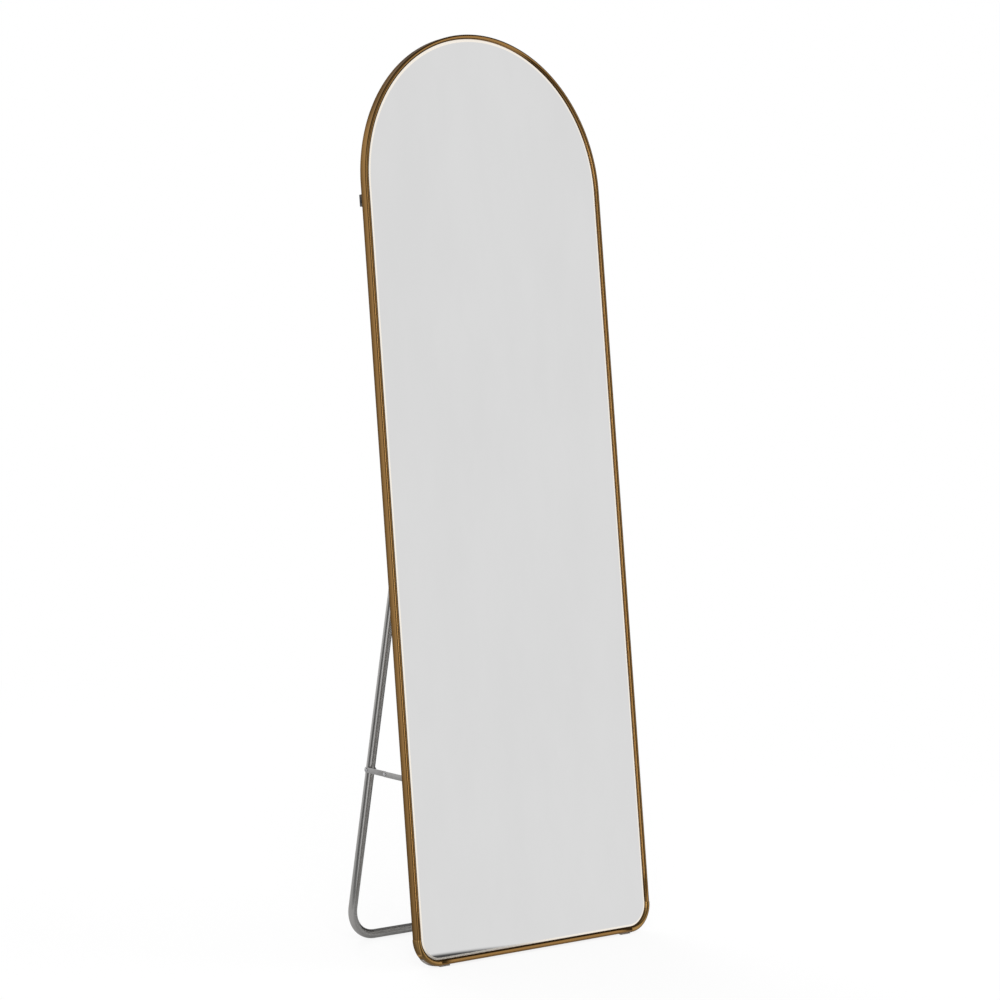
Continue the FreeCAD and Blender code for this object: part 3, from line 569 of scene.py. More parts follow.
def rounded_outline(corners, steps=8):
    """A closed outline through corners (x, y, radius), each a quarter turn."""
    points = []
    for i, (x, y, radius) in enumerate(corners):
        here = Vector((x, y))
        before = (Vector(corners[i - 1][:2]) - here).normalized() * radius
        after = (Vector(corners[(i + 1) % len(corners)][:2]) - here).normalized() * radius
        if radius == 0:
            points.append((x, y))
            continue
        centre = here + before + after
        for k in range(steps + 1):
            t = math.pi / 2 * k / steps
            spot = centre - after * math.cos(t) - before * math.sin(t)
            points.append((spot.x, spot.y))
    return points


def frame_section(bead_width, proud=0.0):
    """The section, x inwards from the outer edge and y back from the front."""
    crown = BEAD_ROUND - proud
    slope = [(crown + (bead_width - crown) * x, (BEAD_DEPTH - LIP) * (1 + y))
             for x, y in arc((0, 0), 1, -90, 0, 10)]
    outer = arc((crown, BEAD_ROUND), BEAD_ROUND, 180, 270, 8)[:-1]
    back = rounded_outline([
        (bead_width, BEAD_DEPTH, 0), (SIDE_WALL, BEAD_DEPTH, 0), (SIDE_WALL, BOX_FRONT, 0),
        (BOX_WIDTH, BOX_FRONT, 0), (BOX_WIDTH, FRAME_DEPTH, BACK_ROUND),
        (-proud, FRAME_DEPTH, BACK_ROUND)])
    return outer + slope + back


def straight(start, stop, steps):
    """Points along a straight run, both ends included."""
    run = (stop[0] - start[0], stop[1] - start[1])
    return [(start[0] + run[0] * i / steps, start[1] + run[1] * i / steps)
            for i in range(steps + 1)]


arch_path = (straight((-HALF, CORNER_RADIUS + SEAM), (-HALF, SPRING), 24)[:-1]
             + arc((0, SPRING), HALF, 180, 0, 128)
             + straight((HALF, SPRING), (HALF, CORNER_RADIUS + SEAM), 24)[1:])
rail_end = HALF - CORNER_RADIUS - SEAM
rail_path = straight((rail_end, 0), (-rail_end, 0), 12)
corner_centre = (HALF - CORNER_RADIUS, CORNER_RADIUS)
corner_path = arc(corner_centre, CORNER_RADIUS, 0, -90, 28)
print("points:", len(frame_section(BEAD_WIDTH)), "in the section,", len(arch_path), "on the arch")

# %% [markdown]
# ## The frame
#
# The long bar runs up one side, round the top and down the other without a joint. The
# bottom bar has a slightly wider bead. The corner pieces stand a little proud of the bars,
# as the fitted corners of such a frame do, and a fine seam shows where they meet.

# %% Frame bars and corners
EDGE = 0.3 * MM
SHY = 0.18 * MM     # keeps the arch's many straight steps inside the model's true curve


def mirrored(points):
    """The same path on the other side of the mirror, still running clockwise."""
    return [(-x, y) for x, y in reversed(points)]


def widen_towards_rail(point):
    """Lets a corner's bead grow to the bottom bar's width on its way round."""
    side = math.copysign(1, point.x)
    spoke = Vector((abs(point.x) - corner_centre[0], point.y - corner_centre[1]))
    inwards = CORNER_RADIUS - spoke.length
    if inwards <= BOX_WIDTH:
        return point
    turned_by = max(0.0, math.atan2(-spoke.y, spoke.x) / (math.pi / 2))
    share = (inwards - BOX_WIDTH) / (BEAD_WIDTH - BOX_WIDTH)
    spoke *= 1 - (RAIL_BEAD_WIDTH - BEAD_WIDTH) * turned_by * share / spoke.length
    return Vector((side * (corner_centre[0] + spoke.x), corner_centre[1] + spoke.y, point.z))


frame_arch = swept("gold_frame_arch", arch_path, frame_section(BEAD_WIDTH, -SHY), GOLD_FRAME,
                   MIRROR, EDGE)
settle(frame_arch, "mirror", "gold_frame", "frame_arch")
frame_rail = swept("gold_bottom_rail", rail_path, frame_section(RAIL_BEAD_WIDTH), GOLD_FRAME,
                   MIRROR, EDGE)
settle(frame_rail, "mirror", "gold_frame", "frame_bottom_rail")
for side, path in (("right", corner_path), ("left", mirrored(corner_path))):
    corner = swept("gold_corner_" + side, path, frame_section(BEAD_WIDTH, CORNER_PROUD),
                   GOLD_CORNER, MIRROR, EDGE, widen_towards_rail)
    settle(corner, "mirror", "gold_corner", "corner_" + side)
print("frame faces:", len(frame_arch.data.polygons), len(frame_rail.data.polygons))

# %% [markdown]
# ## The glass and the board
#
# The glass is a plate whose front rim is ground to a wide, shallow slope. The slope has
# its own finish, paler and warmer than the glass, a painted highlight, so the rim reads as
# a thin bright line between the frame and the glass.
# Both plates share one outline: a half round on top and two rounded corners below.

# %% Plates
GLASS_EDGE = 2.2 * MM
GLASS_FRONT = 4.3 * MM
GLASS_THICK = 4 * MM
RIM_DROP = 0.7 * MM
RIM_SHOWING = 5.2 * MM
PLATE_CRISP = math.radians(12)
BOARD_FRONT = 8.5 * MM
BOARD_THICK = 2.5 * MM


def plate_outline(inset):
    """The mirror's outline, anticlockwise, inset from the frame's outer edge."""
    half = HALF - inset
    corner = CORNER_RADIUS - inset
    low = inset + corner
    return (arc((-half + corner, low), corner, 180, 270, 24)
            + arc((half - corner, low), corner, 270, 360, 24)
            + arc((0, SPRING), half, 0, 180, 128))


def layered_plate(name, layers, finishes, place):
    """A plate from rings (inset, depth), front to back; each step has its own finish."""
    shape = bmesh.new()
    rings = []
    for inset, depth in layers:
        rings.append([shape.verts.new((x, y, -depth)) for x, y in plate_outline(inset)])
    shape.faces.new(rings[0])
    for step, (front, back) in enumerate(zip(rings, rings[1:]), start=1):
        for i in range(len(front)):
            j = (i + 1) % len(front)
            face = shape.faces.new((front[i], back[i], back[j], front[j]))
            face.material_index = min(step, len(finishes) - 1)
            face.smooth = True
    shape.faces.new(list(reversed(rings[-1])))
    mesh = mesh_of(shape, name)
    for finish in finishes:
        mesh.materials.append(finish)
    mesh.transform(place)
    mesh.set_sharp_from_angle(angle=PLATE_CRISP)
    return link(bpy.data.objects.new(name, mesh))


glass = layered_plate("mirror_glass_plate", [
    (BEAD_WIDTH + RIM_SHOWING, GLASS_FRONT),
    (GLASS_EDGE, GLASS_FRONT + RIM_DROP),
    (GLASS_EDGE, GLASS_FRONT + GLASS_THICK),
], (SILVERED, RIM), MIRROR)
settle(glass, "mirror", "silvered_glass", "mirror_glass")

SOFTEN = 0.4 * MM
board = layered_plate("painted_back_board", [
    (GLASS_EDGE + SOFTEN, BOARD_FRONT),
    (GLASS_EDGE, BOARD_FRONT + SOFTEN),
    (GLASS_EDGE, BOARD_FRONT + BOARD_THICK - SOFTEN),
    (GLASS_EDGE + SOFTEN, BOARD_FRONT + BOARD_THICK),
], (BOARD,), MIRROR)
settle(board, "mirror", "back_board", "back_board")
print("glass and board:", len(glass.data.polygons), len(board.data.polygons), "faces")

# %% [markdown]
# ## The stand
#
# One steel tube is bent to a U. Each leg starts at its hinge, runs down to a bend near the
# floor, and the cross tube between the bends is what stands on the floor.

# %% Stand tube
BEND_RADIUS = 58 * MM
LEG_TOP = 7.5 * MM

bend = (-LEG_PLACE + BEND_RADIUS, BEND_RADIUS - LEG_LENGTH)
tube_ring = arc((0, 0), TUBE_RADIUS, 0, 352.5, 47)
stand_path = (straight((-LEG_PLACE, LEG_TOP), (-LEG_PLACE, bend[1]), 16)[:-1]
              + arc(bend, BEND_RADIUS, 180, 270, 32)
              + arc((-bend[0], bend[1]), BEND_RADIUS, 270, 360, 32)
              + straight((LEG_PLACE, bend[1]), (LEG_PLACE, LEG_TOP), 16)[1:])
tube = swept("stand_tube_steel", stand_path, tube_ring, STEEL_TUBE, STAND, EDGE)
settle(tube, "stand", "steel_tube", "stand_tube")
print("stand faces:", len(tube.data.polygons))

# %% [markdown]
# ## Turned parts
#
# Screws, bolts, rivets, nuts and plugs are all rings stacked along an axis. A ring is a
# circle, a hexagon or a cross, so one helper turns them all: the cross makes the recess in
# a screw head and the hexagon makes a nut.

# %% A lathe with more than one shape
AROUND = 48
CROSS_ARM = 0.26
DOME_FULLNESS = 0.6
DOME_TIP = 0.02


def circle(turn):
    return 1.0


def hexagon(turn):
    """Radius of a hexagon whose corners are at 1."""
    wedge = math.pi / 3
    return math.cos(wedge / 2) / math.cos((turn % wedge) - wedge / 2)


def cross(turn):
    """Radius of a cross with arms out to 1."""
    quarter = (turn + math.pi / 4) % (math.pi / 2) - math.pi / 4
    return min(1 / math.cos(quarter), CROSS_ARM / max(abs(math.sin(quarter)), 0.02), 1.0)


def turned(name, rings, finish):
    """A closed solid from rings (height along z, radius, shape), from bottom to top."""
    shape = bmesh.new()
    loops = []
    for height, radius, form in rings:
        loop = []
        for i in range(AROUND):
            turn = 2 * math.pi * i / AROUND
            reach = radius * form(turn)
            loop.append(shape.verts.new((reach * math.cos(turn), reach * math.sin(turn), height)))
        loops.append(loop)
    for low, high in zip(loops, loops[1:]):
        for i in range(AROUND):
            j = (i + 1) % AROUND
            shape.faces.new((low[i], low[j], high[j], high[i]))
    shape.faces.new(list(reversed(loops[0])))
    shape.faces.new(loops[-1])
    mesh = mesh_of(shape, name)
    mesh.materials.append(finish)
    mesh.shade_smooth()
    mesh.set_sharp_from_angle(angle=CRISP)
    return bpy.data.objects.new(name, mesh)


def domed(radius, height, steps=6):
    """Rings of a low dome, from its rim to its top."""
    turns = [math.pi / 2 * i / steps for i in range(steps)]
    rings = [(height * math.sin(t), radius * math.cos(t) ** DOME_FULLNESS, circle) for t in turns]
    return rings + [(height, radius * DOME_TIP, circle)]


def recess(depth, radius, top):
    """Rings of a cross recess that sinks from the top of a head."""
    return [(top, radius, cross), (top - depth, radius * 0.72, cross)]


print("lathe shapes:", [f.__name__ for f in (circle, hexagon, cross)])

# %% [markdown]
# ## Setting fasteners in place
#
# The same screw sits in several places, each facing its own way and turned by its own
# amount, as screws are when a person drives them. A second Geometry Nodes tree puts a
# copy on every point, turns it to face the way that point says, and spins it by a seeded
# random angle.

# %% The fastener tree
def make_fastener_tree():
    tree, given, out = node_tree("fasteners", (
        ("Fastener", "NodeSocketObject"), ("Finish", "NodeSocketMaterial"),
        ("Most Spin", "NodeSocketFloat"), ("Seed", "NodeSocketInt")))
    piece = chain(tree, "GeometryNodeObjectInfo", {"Object": given.outputs["Fastener"]})
    facing = chain(tree, "GeometryNodeInputNamedAttribute", {}, data_type="FLOAT_VECTOR")
    facing.inputs["Name"].default_value = "facing"
    aim = chain(tree, "FunctionNodeAlignRotationToVector",
                {"Vector": facing.outputs["Attribute"]}, axis="Z")
    spin = chain(tree, "FunctionNodeRandomValue",
                 {"Max": given.outputs["Most Spin"], "Seed": given.outputs["Seed"]},
                 data_type="FLOAT")
    turn = chain(tree, "ShaderNodeCombineXYZ", {"Z": spin.outputs[1]})
    turned_to = chain(tree, "FunctionNodeRotateRotation",
                      {"Rotation": aim.outputs["Rotation"], "Rotate By": turn.outputs["Vector"]},
                      rotation_space="LOCAL")
    copies = chain(tree, "GeometryNodeInstanceOnPoints",
                   {"Points": given.outputs["Geometry"], "Instance": piece.outputs["Geometry"],
                    "Rotation": turned_to.outputs["Rotation"]})
    solid = chain(tree, "GeometryNodeRealizeInstances", {"Geometry": copies.outputs["Instances"]})
    dressed = chain(tree, "GeometryNodeSetMaterial",
                    {"Geometry": solid.outputs["Geometry"], "Material": given.outputs["Finish"]})
    tree.links.new(dressed.outputs["Geometry"], out.inputs["Geometry"])
    return tree


FASTENERS = make_fastener_tree()


def set_fasteners(name, pattern, seats, seed):
    """One mesh with a copy of a fastener on each seat (place, facing) of the room."""
    points = bpy.data.meshes.new(name + "_seats")
    points.from_pydata([tuple(place) for place, _ in seats], [], [])
    facing = points.attributes.new("facing", "FLOAT_VECTOR", "POINT")
    for i, (_, direction) in enumerate(seats):
        facing.data[i].vector = direction
    holder = link(bpy.data.objects.new(name + "_seats", points))
    link(pattern)
    modifier = holder.modifiers.new("fasteners", "NODES")
    modifier.node_group = FASTENERS
    for label, value in (("Fastener", pattern), ("Finish", pattern.data.materials[0]),
                         ("Most Spin", math.pi / 2), ("Seed", seed)):
        set_input(modifier, label, value)
    mesh = evaluated_mesh(holder)
    bpy.data.objects.remove(holder)
    bpy.data.objects.remove(pattern)
    return link(bpy.data.objects.new(name, mesh))


print("fastener tree inputs:", [item.name for item in FASTENERS.interface.items_tree])

# %% [markdown]
# ## Screws
#
# Pan-head screws hold the brackets to the frame's rear wall, two to a bracket. Four small
# flush screws at the back lock the corner pieces' keys. A bracket screw points sideways,
# so its head faces the middle of the mirror, while a corner screw faces straight back.

# %% Bracket and corner screws
PLATE = 1.4 * MM
SCREW_DEPTH = 14 * MM
BRACE_FOOT = 329.5 * MM
HANGER_HEIGHT = 1333 * MM
HEAD_RADIUS = 2.8 * MM
HEAD_HEIGHT = 1.5 * MM
HEAD_RIM = 0.25
SHANK_RADIUS = 1.2 * MM
SHANK_LENGTH = 2 * MM
FLUSH_RADIUS = 1.5 * MM
FLUSH_HEIGHT = 0.14 * MM
BOX_MIDDLE = 2.3 * MM
KEY_SCREW = CORNER_RADIUS + 12 * MM
BACKWARDS = MIRROR.to_3x3() @ Vector((0, 0, -1))


def pan_head(finish):
    rings = [(-SHANK_LENGTH, SHANK_RADIUS, circle), (0, SHANK_RADIUS, circle),
             (0, HEAD_RADIUS, circle)]
    rings += [(HEAD_HEIGHT * HEAD_RIM + z * (1 - HEAD_RIM), radius, form)
              for z, radius, form in domed(HEAD_RADIUS, HEAD_HEIGHT)[:5]]
    rings += recess(0.8 * MM, 1.5 * MM, rings[-1][0])
    return turned("pan_head", rings, finish)


def flush_head():
    rings = [(-1 * MM, 1 * MM, circle), (0.02 * MM, FLUSH_RADIUS, circle),
             (FLUSH_HEIGHT, FLUSH_RADIUS * 0.9, circle)]
    rings += recess(0.5 * MM, 0.95 * MM, FLUSH_HEIGHT)
    return turned("flush_head", rings, ZINC)


def side_seats(heights):
    """Seats on both rear walls at heights up the mirror, each facing inwards."""
    across = HALF - BOX_WIDTH - PLATE
    return [(MIRROR @ Vector((side * across, v, -SCREW_DEPTH)), Vector((-side, 0, 0)))
            for side in (-1, 1) for v in heights]


bracket_screws = {
    "hinge_bracket_screws": (HINGE_HEIGHT, (-33 * MM, -9 * MM), ZINC, "zinc_screw"),
    "brace_bracket_screws": (BRACE_FOOT, (-33 * MM, -22 * MM), ZINC, "zinc_screw"),
    "hanger_screws": (HANGER_HEIGHT, (4 * MM, 17 * MM), BLACK_SCREW, "black_screw"),
}
for seed, (node, (middle, rises, finish, slot)) in enumerate(bracket_screws.items(), start=3):
    seats = side_seats([middle + rise for rise in rises])
    settle(set_fasteners(node + "_set", pan_head(finish), seats, seed), "mirror", slot, node)

corner_seats = [(MIRROR @ Vector((side * u, v, -FRAME_DEPTH)), BACKWARDS)
                for side in (-1, 1)
                for u, v in ((HALF - BOX_MIDDLE, KEY_SCREW), (HALF - KEY_SCREW, BOX_MIDDLE))]
settle(set_fasteners("corner_screws_set", flush_head(), corner_seats, seed=9),
       "mirror", "zinc_screw", "corner_screws")
print("screws set:", len(corner_seats) + 4 * len(bracket_screws))

# %% [markdown]
# ## Pivots
#
# The stand turns on two bolts through the hinge brackets' ears. Each has a low domed head
# on the outside of the leg, a nylon spacer between the leg and the ear, and a nut inside.
# The brace turns on a smaller bolt through each leg, also with its nut inside.

# %% Bolts, spacers and nuts
EAR_PLACE = 250 * MM
LEG_INSIDE = LEG_PLACE - TUBE_RADIUS
LEG_OUTSIDE = LEG_PLACE + TUBE_RADIUS
RUNNING_GAP = 0.3 * MM
WASHER = 0.5 * MM
CHAMFER = 0.35 * MM
SPACER_RADIUS = 5.5 * MM
SPACER_BREAK = 0.3 * MM


def bolt_head(name, radius, height, shank, length, socket_radius):
    """A domed head at z = 0 with its shank below it and a hexagon socket in its top."""
    crown = domed(radius, height)[:5]
    top = crown[-1][0]
    rings = [(-length, shank * 0.8, circle), (-length + shank * 0.3, shank, circle),
             (0, shank, circle), (0, radius * 0.96, circle)]
    rings += [(max(z, 0.06 * height), r, form) for z, r, form in crown]
    rings += [(top, socket_radius, hexagon), (top - height * 0.55, socket_radius * 0.96, hexagon)]
    return turned(name, rings, BRIGHT)


def hex_nut(name, flats, thickness, bore):
    """A chamfered nut that stands on z = 0, with the bolt's rounded end in it."""
    corner = flats / math.sqrt(3)
    end = thickness + 0.5 * MM
    rings = [(0, corner * 1.18, circle), (WASHER, corner * 1.18, circle),
             (WASHER, corner * 0.9, hexagon), (WASHER + CHAMFER, corner, hexagon),
             (thickness - CHAMFER, corner, hexagon), (thickness, corner * 0.88, hexagon),
             (thickness, bore, circle), (end, bore, circle), (end + 0.3 * MM, bore * 0.75, circle)]
    return turned(name, rings, BRIGHT)


def sideways(outwards, centre, inwards=False):
    """Seats at a distance either side of a centre, facing outwards or inwards."""
    flip = -1 if inwards else 1
    return [(Vector((side * outwards, centre.y, centre.z)), Vector((side * flip, 0, 0)))
            for side in (-1, 1)]


hinge_bolt = bolt_head("hinge_bolt", radius=3.8 * MM, height=1.5 * MM, shank=2.5 * MM,
                       length=26 * MM, socket_radius=1.7 * MM)
bolt_seats = sideways(LEG_OUTSIDE + RUNNING_GAP, HINGE)
settle(set_fasteners("hinge_bolts_set", hinge_bolt, bolt_seats, seed=4),
       "mirror", "bright_fastener", "hinge_bolts")
hinge_nut = hex_nut("hinge_nut", flats=8 * MM, thickness=4.5 * MM, bore=2.4 * MM)
nut_seats = sideways(EAR_PLACE, HINGE, inwards=True)
settle(set_fasteners("hinge_nuts_set", hinge_nut, nut_seats, seed=5),
       "mirror", "bright_fastener", "hinge_nuts")

spacer_start = EAR_PLACE + PLATE
spacer_long = LEG_INSIDE - RUNNING_GAP - spacer_start
spacer = turned("spacer", [
    (0, SPACER_RADIUS - SPACER_BREAK, circle), (SPACER_BREAK, SPACER_RADIUS, circle),
    (spacer_long - SPACER_BREAK, SPACER_RADIUS, circle),
    (spacer_long, SPACER_RADIUS - SPACER_BREAK, circle)], NYLON)
settle(set_fasteners("hinge_spacers_set", spacer, sideways(spacer_start, HINGE), seed=6),
       "mirror", "white_nylon", "hinge_spacers")
print("hinge hardware done, spacer", round(spacer_long / MM, 2), "mm long")

# %% [markdown]
# ## The folding brace
#
# On each side one flat bar turns on the leg and another on the frame, and a rivet joins
# them at the knee. The bars are cut from strip, with round ends, and their edges are
# broken so that they don't cut fingers. The three pivots are read from the model, so the
# bars are exactly as long as they have to be.

# %% Brace bars
BAR_WIDTH = 10 * MM
BAR_THICK = 1.2 * MM
BAR_EDGE = 0.22 * MM
SIDES = (("left", -1), ("right", 1))
LEG_BAR_INNER = 270.3 * MM
FRAME_BAR_INNER = 271.8 * MM
LEG_PIVOT = Vector(joints["leg_bar_turn_left"]["pos_m"])
FRAME_PIVOT = Vector(joints["frame_bar_turn_left"]["pos_m"])
knee_low, knee_high = (Vector(corner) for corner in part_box("brace_rivet_left"))
KNEE = (knee_low + knee_high) / 2


def flat_bar(name, start, stop, inner, side):
    """A round-ended bar between two pivots, lying in the plane of the leg."""
    run = Vector((0, stop.y - start.y, stop.z - start.z))
    along = run.normalized()
    across = Vector((1, 0, 0)).cross(along)
    half = BAR_WIDTH / 2
    outline = arc((run.length, 0), half, -90, 90, 20) + arc((0, 0), half, 90, 270, 20)
    shape = bmesh.new()
    near, far = [[shape.verts.new(Vector((side * depth, start.y, start.z)) + along * x + across * y)
                  for x, y in outline] for depth in (inner, inner + BAR_THICK)]
    shape.faces.new(near)
    shape.faces.new(list(reversed(far)))
    for i in range(len(outline)):
        j = (i + 1) % len(outline)
        shape.faces.new((near[j], near[i], far[i], far[j]))
    bmesh.ops.recalc_face_normals(shape, faces=shape.faces)
    mesh = mesh_of(shape, name)
    mesh.materials.append(FLAT_STEEL)
    return polish(link(bpy.data.objects.new(name, mesh)), BAR_EDGE)


for side, sign in SIDES:
    leg_bar = flat_bar("leg_bar_" + side + "_steel", LEG_PIVOT, KNEE, LEG_BAR_INNER, sign)
    settle(leg_bar, "leg_bar_" + side, "flat_steel", "brace_leg_bar_" + side)
    frame_bar = flat_bar("frame_bar_" + side + "_steel", FRAME_PIVOT, KNEE, FRAME_BAR_INNER, sign)
    settle(frame_bar, "frame_bar_" + side, "flat_steel", "brace_frame_bar_" + side)
print("leg bar", round((KNEE - LEG_PIVOT).length / MM, 1), "mm, frame bar",
      round((KNEE - FRAME_PIVOT).length / MM, 1), "mm")

# %% Brace rivets, bolts and nuts
RIVET_SHANK = 2 * MM
RIVET_SUNK = 0.6 * MM
RIVET_BREAK = 0.1 * MM


def rivet_end(name, radius, height):
    """A low round head on a short piece of shank."""
    return turned(name, [(-RIVET_SUNK, RIVET_SHANK, circle), (0, RIVET_SHANK, circle),
                         (0, radius - RIVET_BREAK, circle), *domed(radius, height)[1:]], BRIGHT)


def set_at(node, name, pattern, reach, pivot, facing, seed, body):
    """Sets a single fastener at a distance out from the middle, level with a pivot."""
    seat = (Vector((reach, pivot.y, pivot.z)), facing)
    settle(set_fasteners(name, pattern, [seat], seed), body, "bright_fastener", node)


for side, sign in SIDES:
    out = Vector((sign, 0, 0))
    set_at("brace_rivet_" + side, "knee_rivet_" + side, rivet_end("rivet", 3.2 * MM, 1.1 * MM),
           sign * (FRAME_BAR_INNER + BAR_THICK), KNEE, out, 11, "frame_bar_" + side)
    set_at("brace_rivet_tail_" + side, "knee_rivet_tail_" + side,
           rivet_end("tail", 2.7 * MM, 0.2 * MM),
           sign * LEG_BAR_INNER, KNEE, -out, 12, "leg_bar_" + side)
    leg_bolt = bolt_head("leg_bolt", radius=3.5 * MM, height=1.3 * MM, shank=2 * MM,
                         length=22 * MM, socket_radius=1.4 * MM)
    set_at("brace_leg_bolt_" + side, "leg_bolt_" + side, leg_bolt,
           sign * (LEG_BAR_INNER + BAR_THICK), LEG_PIVOT, out, 13, "stand")

leg_nut = hex_nut("leg_nut", flats=7 * MM, thickness=2.4 * MM, bore=1.9 * MM)
nut_seats = sideways(LEG_INSIDE, LEG_PIVOT, inwards=True)
settle(set_fasteners("leg_nuts_set", leg_nut, nut_seats, seed=14),
       "stand", "bright_fastener", "brace_leg_nuts")
print("brace fasteners done")

# %% [markdown]
# ## Brackets, pads and plugs
#
# The bent and cut sheet parts already have their right shape in the model, but real sheet
# metal and rubber never have razor edges. A copy of each is cleaned of its loose
# triangles, its edges are rounded by a fraction of a millimetre, and it takes over from
# the plain one. The tube's end plugs are turned instead, with a low dome.

# %% Softened copies
MERGE = 0.005 * MM
NEARLY_FLAT = math.radians(1)


def softened(node, body, slot, finish, width):
    """A copy of a model piece with its edges rounded, which stands for it."""
    shape = bmesh.new()
    shape.from_mesh(frame["nodes"][node].data)
    bmesh.ops.remove_doubles(shape, verts=shape.verts, dist=MERGE)
    bmesh.ops.dissolve_limit(shape, angle_limit=NEARLY_FLAT, verts=shape.verts,
                             edges=shape.edges)
    mesh = mesh_of(shape, node + "_softened")
    mesh.materials.clear()
    mesh.materials.append(finish)
    piece = polish(link(bpy.data.objects.new(mesh.name, mesh)), width)
    return settle(piece, body, slot, node)


for side, _ in SIDES:
    softened("hinge_bracket_" + side, "mirror", "black_bracket", BLACK_COAT, 0.25 * MM)
    softened("brace_bracket_" + side, "mirror", "flat_steel", FLAT_STEEL, BAR_EDGE)
    softened("hanger_" + side, "mirror", "black_bracket", BLACK_COAT, 0.25 * MM)
    softened("foot_pad_" + side, "mirror", "grey_rubber", RUBBER, 0.3 * MM)

# %% Tube plugs
PLUG_CAP = 1.5 * MM
PLUG_RIM = 0.4
for side, sign in SIDES:
    cap = turned("plug", [(0, TUBE_RADIUS, circle), (PLUG_CAP * PLUG_RIM, TUBE_RADIUS, circle),
                          *[(PLUG_CAP * PLUG_RIM + z * (1 - PLUG_RIM), radius, form)
                            for z, radius, form in domed(TUBE_RADIUS, PLUG_CAP)[1:]]], PLASTIC)
    top = STAND @ Vector((sign * LEG_PLACE, LEG_TOP, 0))
    plug = set_fasteners("tube_plug_" + side + "_cap", cap,
                         [(top, STAND.to_3x3() @ Vector((0, 1, 0)))], seed=15)
    settle(plug, "stand", "black_plastic", "tube_plug_" + side)
print("softened and turned parts done")

# %% [markdown]
# ## Pieces kept from the model
#
# A strip of foam, the film behind the glass and the brace's flush pins hardly show, and
# the model's own shapes are right, so they only get their finishes.

# %% Finishes for the kept pieces
kept = {
    "glazing_strip": STRIP,
    "safety_film": FILM,
    "brace_frame_pin_left": BRIGHT,
    "brace_frame_pin_right": BRIGHT,
}
for node, finish in kept.items():
    for slot in frame["nodes"][node].material_slots:
        slot.material = finish
print("kept from the model:", list(kept))

# %% [markdown]
# ## Camera
#
# The camera stands where the photograph's outline says it does: to the left of the
# mirror, a little above its middle, and far enough off for a long lens. It was found by
# matching the corners and edges of the frame and the stand.

# %% Camera
IMAGE = 1000
FOCAL_PIXELS = 3053.8
SENSOR = 36.0
CAMERA_PLACE = Vector((-3.6380, -4.0888, 1.4066))
CAMERA_YAW, CAMERA_PITCH, CAMERA_ROLL = (math.radians(a) for a in (41.578, -6.375, 2.948))

lens = bpy.data.cameras.new("camera")
lens.sensor_width = SENSOR
lens.lens = SENSOR * FOCAL_PIXELS / IMAGE
camera = link(bpy.data.objects.new("camera", lens))
camera.matrix_world = (Matrix.Translation(CAMERA_PLACE)
                       @ Matrix.Rotation(-CAMERA_YAW, 4, "Z")
                       @ Matrix.Rotation(math.pi / 2 + CAMERA_PITCH, 4, "X")
                       @ Matrix.Rotation(CAMERA_ROLL, 4, "Z"))
bpy.context.scene.camera = camera
print("lens:", round(lens.lens, 1), "mm")

# %% [markdown]
# ## Floor, room and light
#
# The photograph has a plain white ground. The floor is a pale plane that looks white to
# the camera and keeps a soft shadow. A mirror and polished metal show the room, so the
# room matters. It is white ahead to the right, where the glass looks, bright beside the
# camera and behind on the left, and dim between, which gives the gold and the steel their
# dark and light lines. Broad lamps add soft shading.

# %% How bright the studio is
def ray(f, *kinds):
    """1 for the kinds of ray named, 0 for others."""
    found = f.node("ShaderNodeLightPath", output=kinds[0])
    for kind in kinds[1:]:
        found = found.most(f.node("ShaderNodeLightPath", output=kind))
    return found


def parts_of(f, vector):
    return [f.node("ShaderNodeSeparateXYZ", None, {0: vector}, output=axis) for axis in "XYZ"]


DIM_RIGHT = 0.08
DIM_LEFT = 0.2
CEILING_LOSS = 0.6


def studio(x, y, z, distance=1.0):
    """Brightness of the room in a direction (x, y, z), from dim walls up to 1."""
    forward = y * -1.0
    right = x.between(0.0, 0.35)
    white_screen = forward.between(0.5, 0.6) * x.between(0.36, 0.52)
    by_camera = forward.between(0.2, 0.42) * (1 - forward.between(0.74, 0.9))
    behind = y.between(0.35, 0.75)
    over_back = z.between(0.6, 0.72) * y.between(0.02, 0.16)
    right_side = DIM_RIGHT + white_screen * (1 - DIM_RIGHT) + behind * 0.2 + over_back * 0.7
    # A distance below 1 dims the floor's glow in metal behind the object and near it: painted
    # shade.
    left_side = DIM_LEFT + by_camera * (1 - DIM_LEFT) + behind * (0.5 + distance * 0.24)
    around = right * right_side + (1 - right) * left_side
    return around * (1 - z.between(0.4, 0.65) * CEILING_LOSS)


# %% Floor
LEFT_SIDE = (0.28, 0.13, 0.0)
# Level of the floor's glow in metal under and beside the object: a painted shade.
PAINTED_SHADE_UNDER = 0.3
SHADOW_KEPT = 0.14


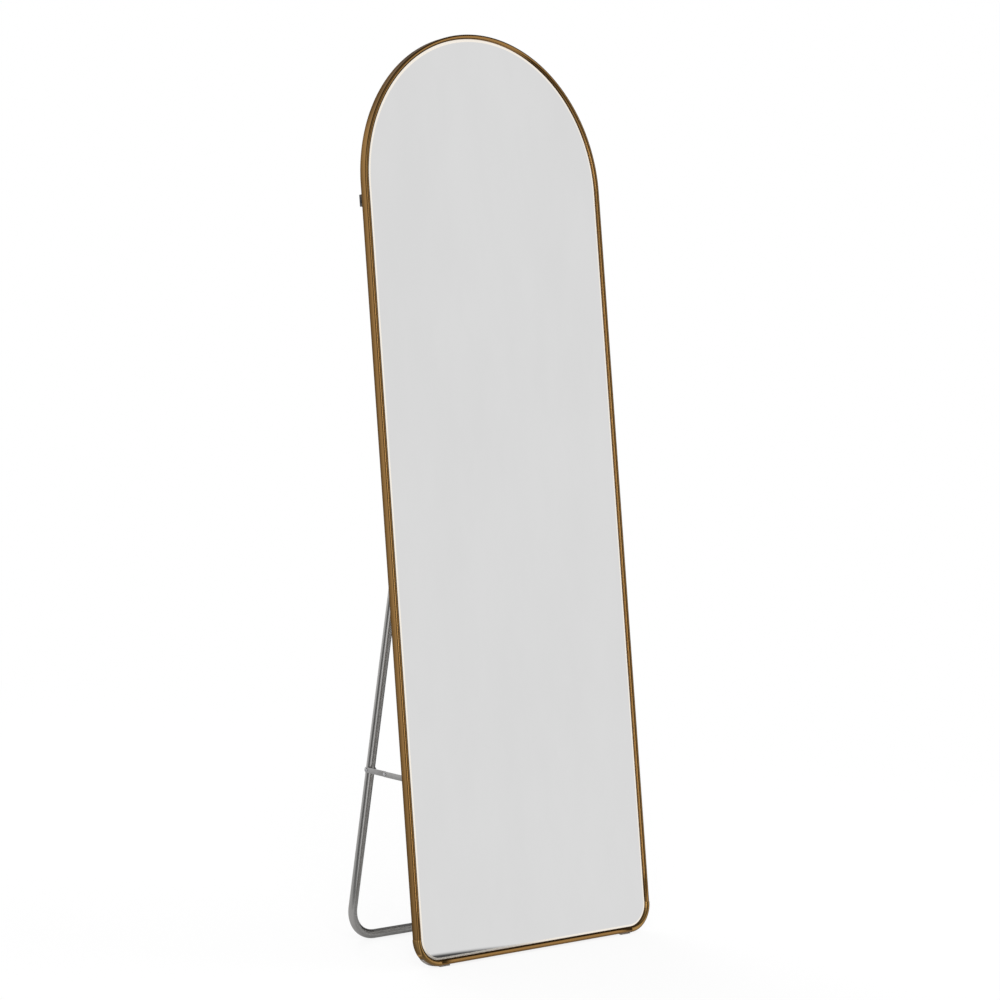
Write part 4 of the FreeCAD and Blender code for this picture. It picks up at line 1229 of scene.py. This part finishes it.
def pale_floor():
    """White to the camera but for the object's shadow; in metal as bright as the room, with painted
    shade near and under the object.
    """
    f = new_finish("pale_floor")
    place = f.node("ShaderNodeTexCoord", output="Object")
    away = f.node("ShaderNodeVectorMath", {"operation": "LENGTH"}, {0: place}, output="Value")
    far = away.between(0.9, 2.6)
    leftwards = parts_of(f, place)[0] * -1.0
    beside = leftwards.between(0.22, 0.3)
    # Where clear is 0, near the object and not to its left, the floor's glow in metal drops to the
    # painted shade level.
    clear = beside + (1 - beside) * away.between(0.2, 0.5)
    shift = f.node("ShaderNodeVectorMath", {"operation": "SCALE"}, {
        0: LEFT_SIDE, "Scale": leftwards.between(0.05, 0.3)})
    from_side = f.node("ShaderNodeVectorMath", {"operation": "ADD"}, {0: place, 1: shift})
    way = f.node("ShaderNodeVectorMath", {"operation": "NORMALIZE"}, {0: from_side})
    reflected = studio(*parts_of(f, way), far) * clear + (1 - clear) * PAINTED_SHADE_UNDER
    seen = ray(f, "Is Camera Ray", "Is Transmission Ray")
    mirrored_in = ray(f, "Is Glossy Ray")
    glow = f.node("ShaderNodeEmission", None, {
        "Color": (1, 1, 1, 1), "Strength": seen + (1 - seen) * reflected})
    paint = f.node("ShaderNodeBsdfDiffuse", None, {"Color": (0.9, 0.9, 0.9, 1)})
    share = seen * (1 - SHADOW_KEPT + far * SHADOW_KEPT) + mirrored_in * (0.5 + clear * 0.5)
    look = f.node("ShaderNodeMixShader", None, {"Fac": share, 1: paint, 2: glow})
    f.node("ShaderNodeOutputMaterial", None, {"Surface": look})
    return f.owner


FLOOR_REACH = 30.0
floor_mesh = bpy.data.meshes.new("floor")
floor_mesh.from_pydata([(x * FLOOR_REACH, y * FLOOR_REACH, 0)
                        for x, y in ((-1, -1), (1, -1), (1, 1), (-1, 1))], [], [(0, 1, 2, 3)])
floor_mesh.materials.append(pale_floor())
floor = link(bpy.data.objects.new("floor", floor_mesh))
print("floor:", 2 * FLOOR_REACH, "metres square")


# %% Room and lamps
AMBIENT = 0.6


def room():
    """White to the camera, the studio in metal and glass, and an even level on the rest."""
    f = Finish(bpy.context.scene.world or bpy.data.worlds.new("room"))
    bpy.context.scene.world = f.owner
    x, y, z = parts_of(f, f.node("ShaderNodeTexCoord", output="Generated"))
    seen = ray(f, "Is Camera Ray", "Is Transmission Ray")
    mirrored_in = ray(f, "Is Glossy Ray")
    lit = AMBIENT + z * 0.1
    unseen = mirrored_in * studio(x, y, z) + (1 - mirrored_in) * lit
    sky = f.node("ShaderNodeBackground", None, {
        "Color": (1, 1, 1, 1), "Strength": seen + (1 - seen) * unseen})
    f.node("ShaderNodeOutputWorld", None, {"Surface": sky})


def lamp(name, place, aim, size, power, in_metal=False):
    """A softbox that faces a point. It shows in metal only where that is asked for."""
    light = bpy.data.lights.new(name, "AREA")
    light.shape = "RECTANGLE"
    light.size, light.size_y = size
    light.energy = power
    thing = link(bpy.data.objects.new(name, light))
    thing.location = place
    thing.rotation_euler = (Vector(aim) - Vector(place)).to_track_quat("-Z", "Y").to_euler()
    thing.visible_glossy = in_metal


room()
MIDDLE = (0, 0, 0.8)
lamp("strip_softbox", (-3.4, -2.5, 1.1), MIDDLE, (0.7, 2.2), 13, in_metal=True)
lamp("key", (-2.6, -3.4, 4.0), MIDDLE, (2.6, 2.6), 110)
lamp("fill", (3.4, -2.2, 2.6), MIDDLE, (2.4, 3.0), 50)
lamp("back", (0.6, 3.6, 3.2), MIDDLE, (2.6, 2.0), 70)
bpy.context.scene.view_settings.view_transform = "Standard"
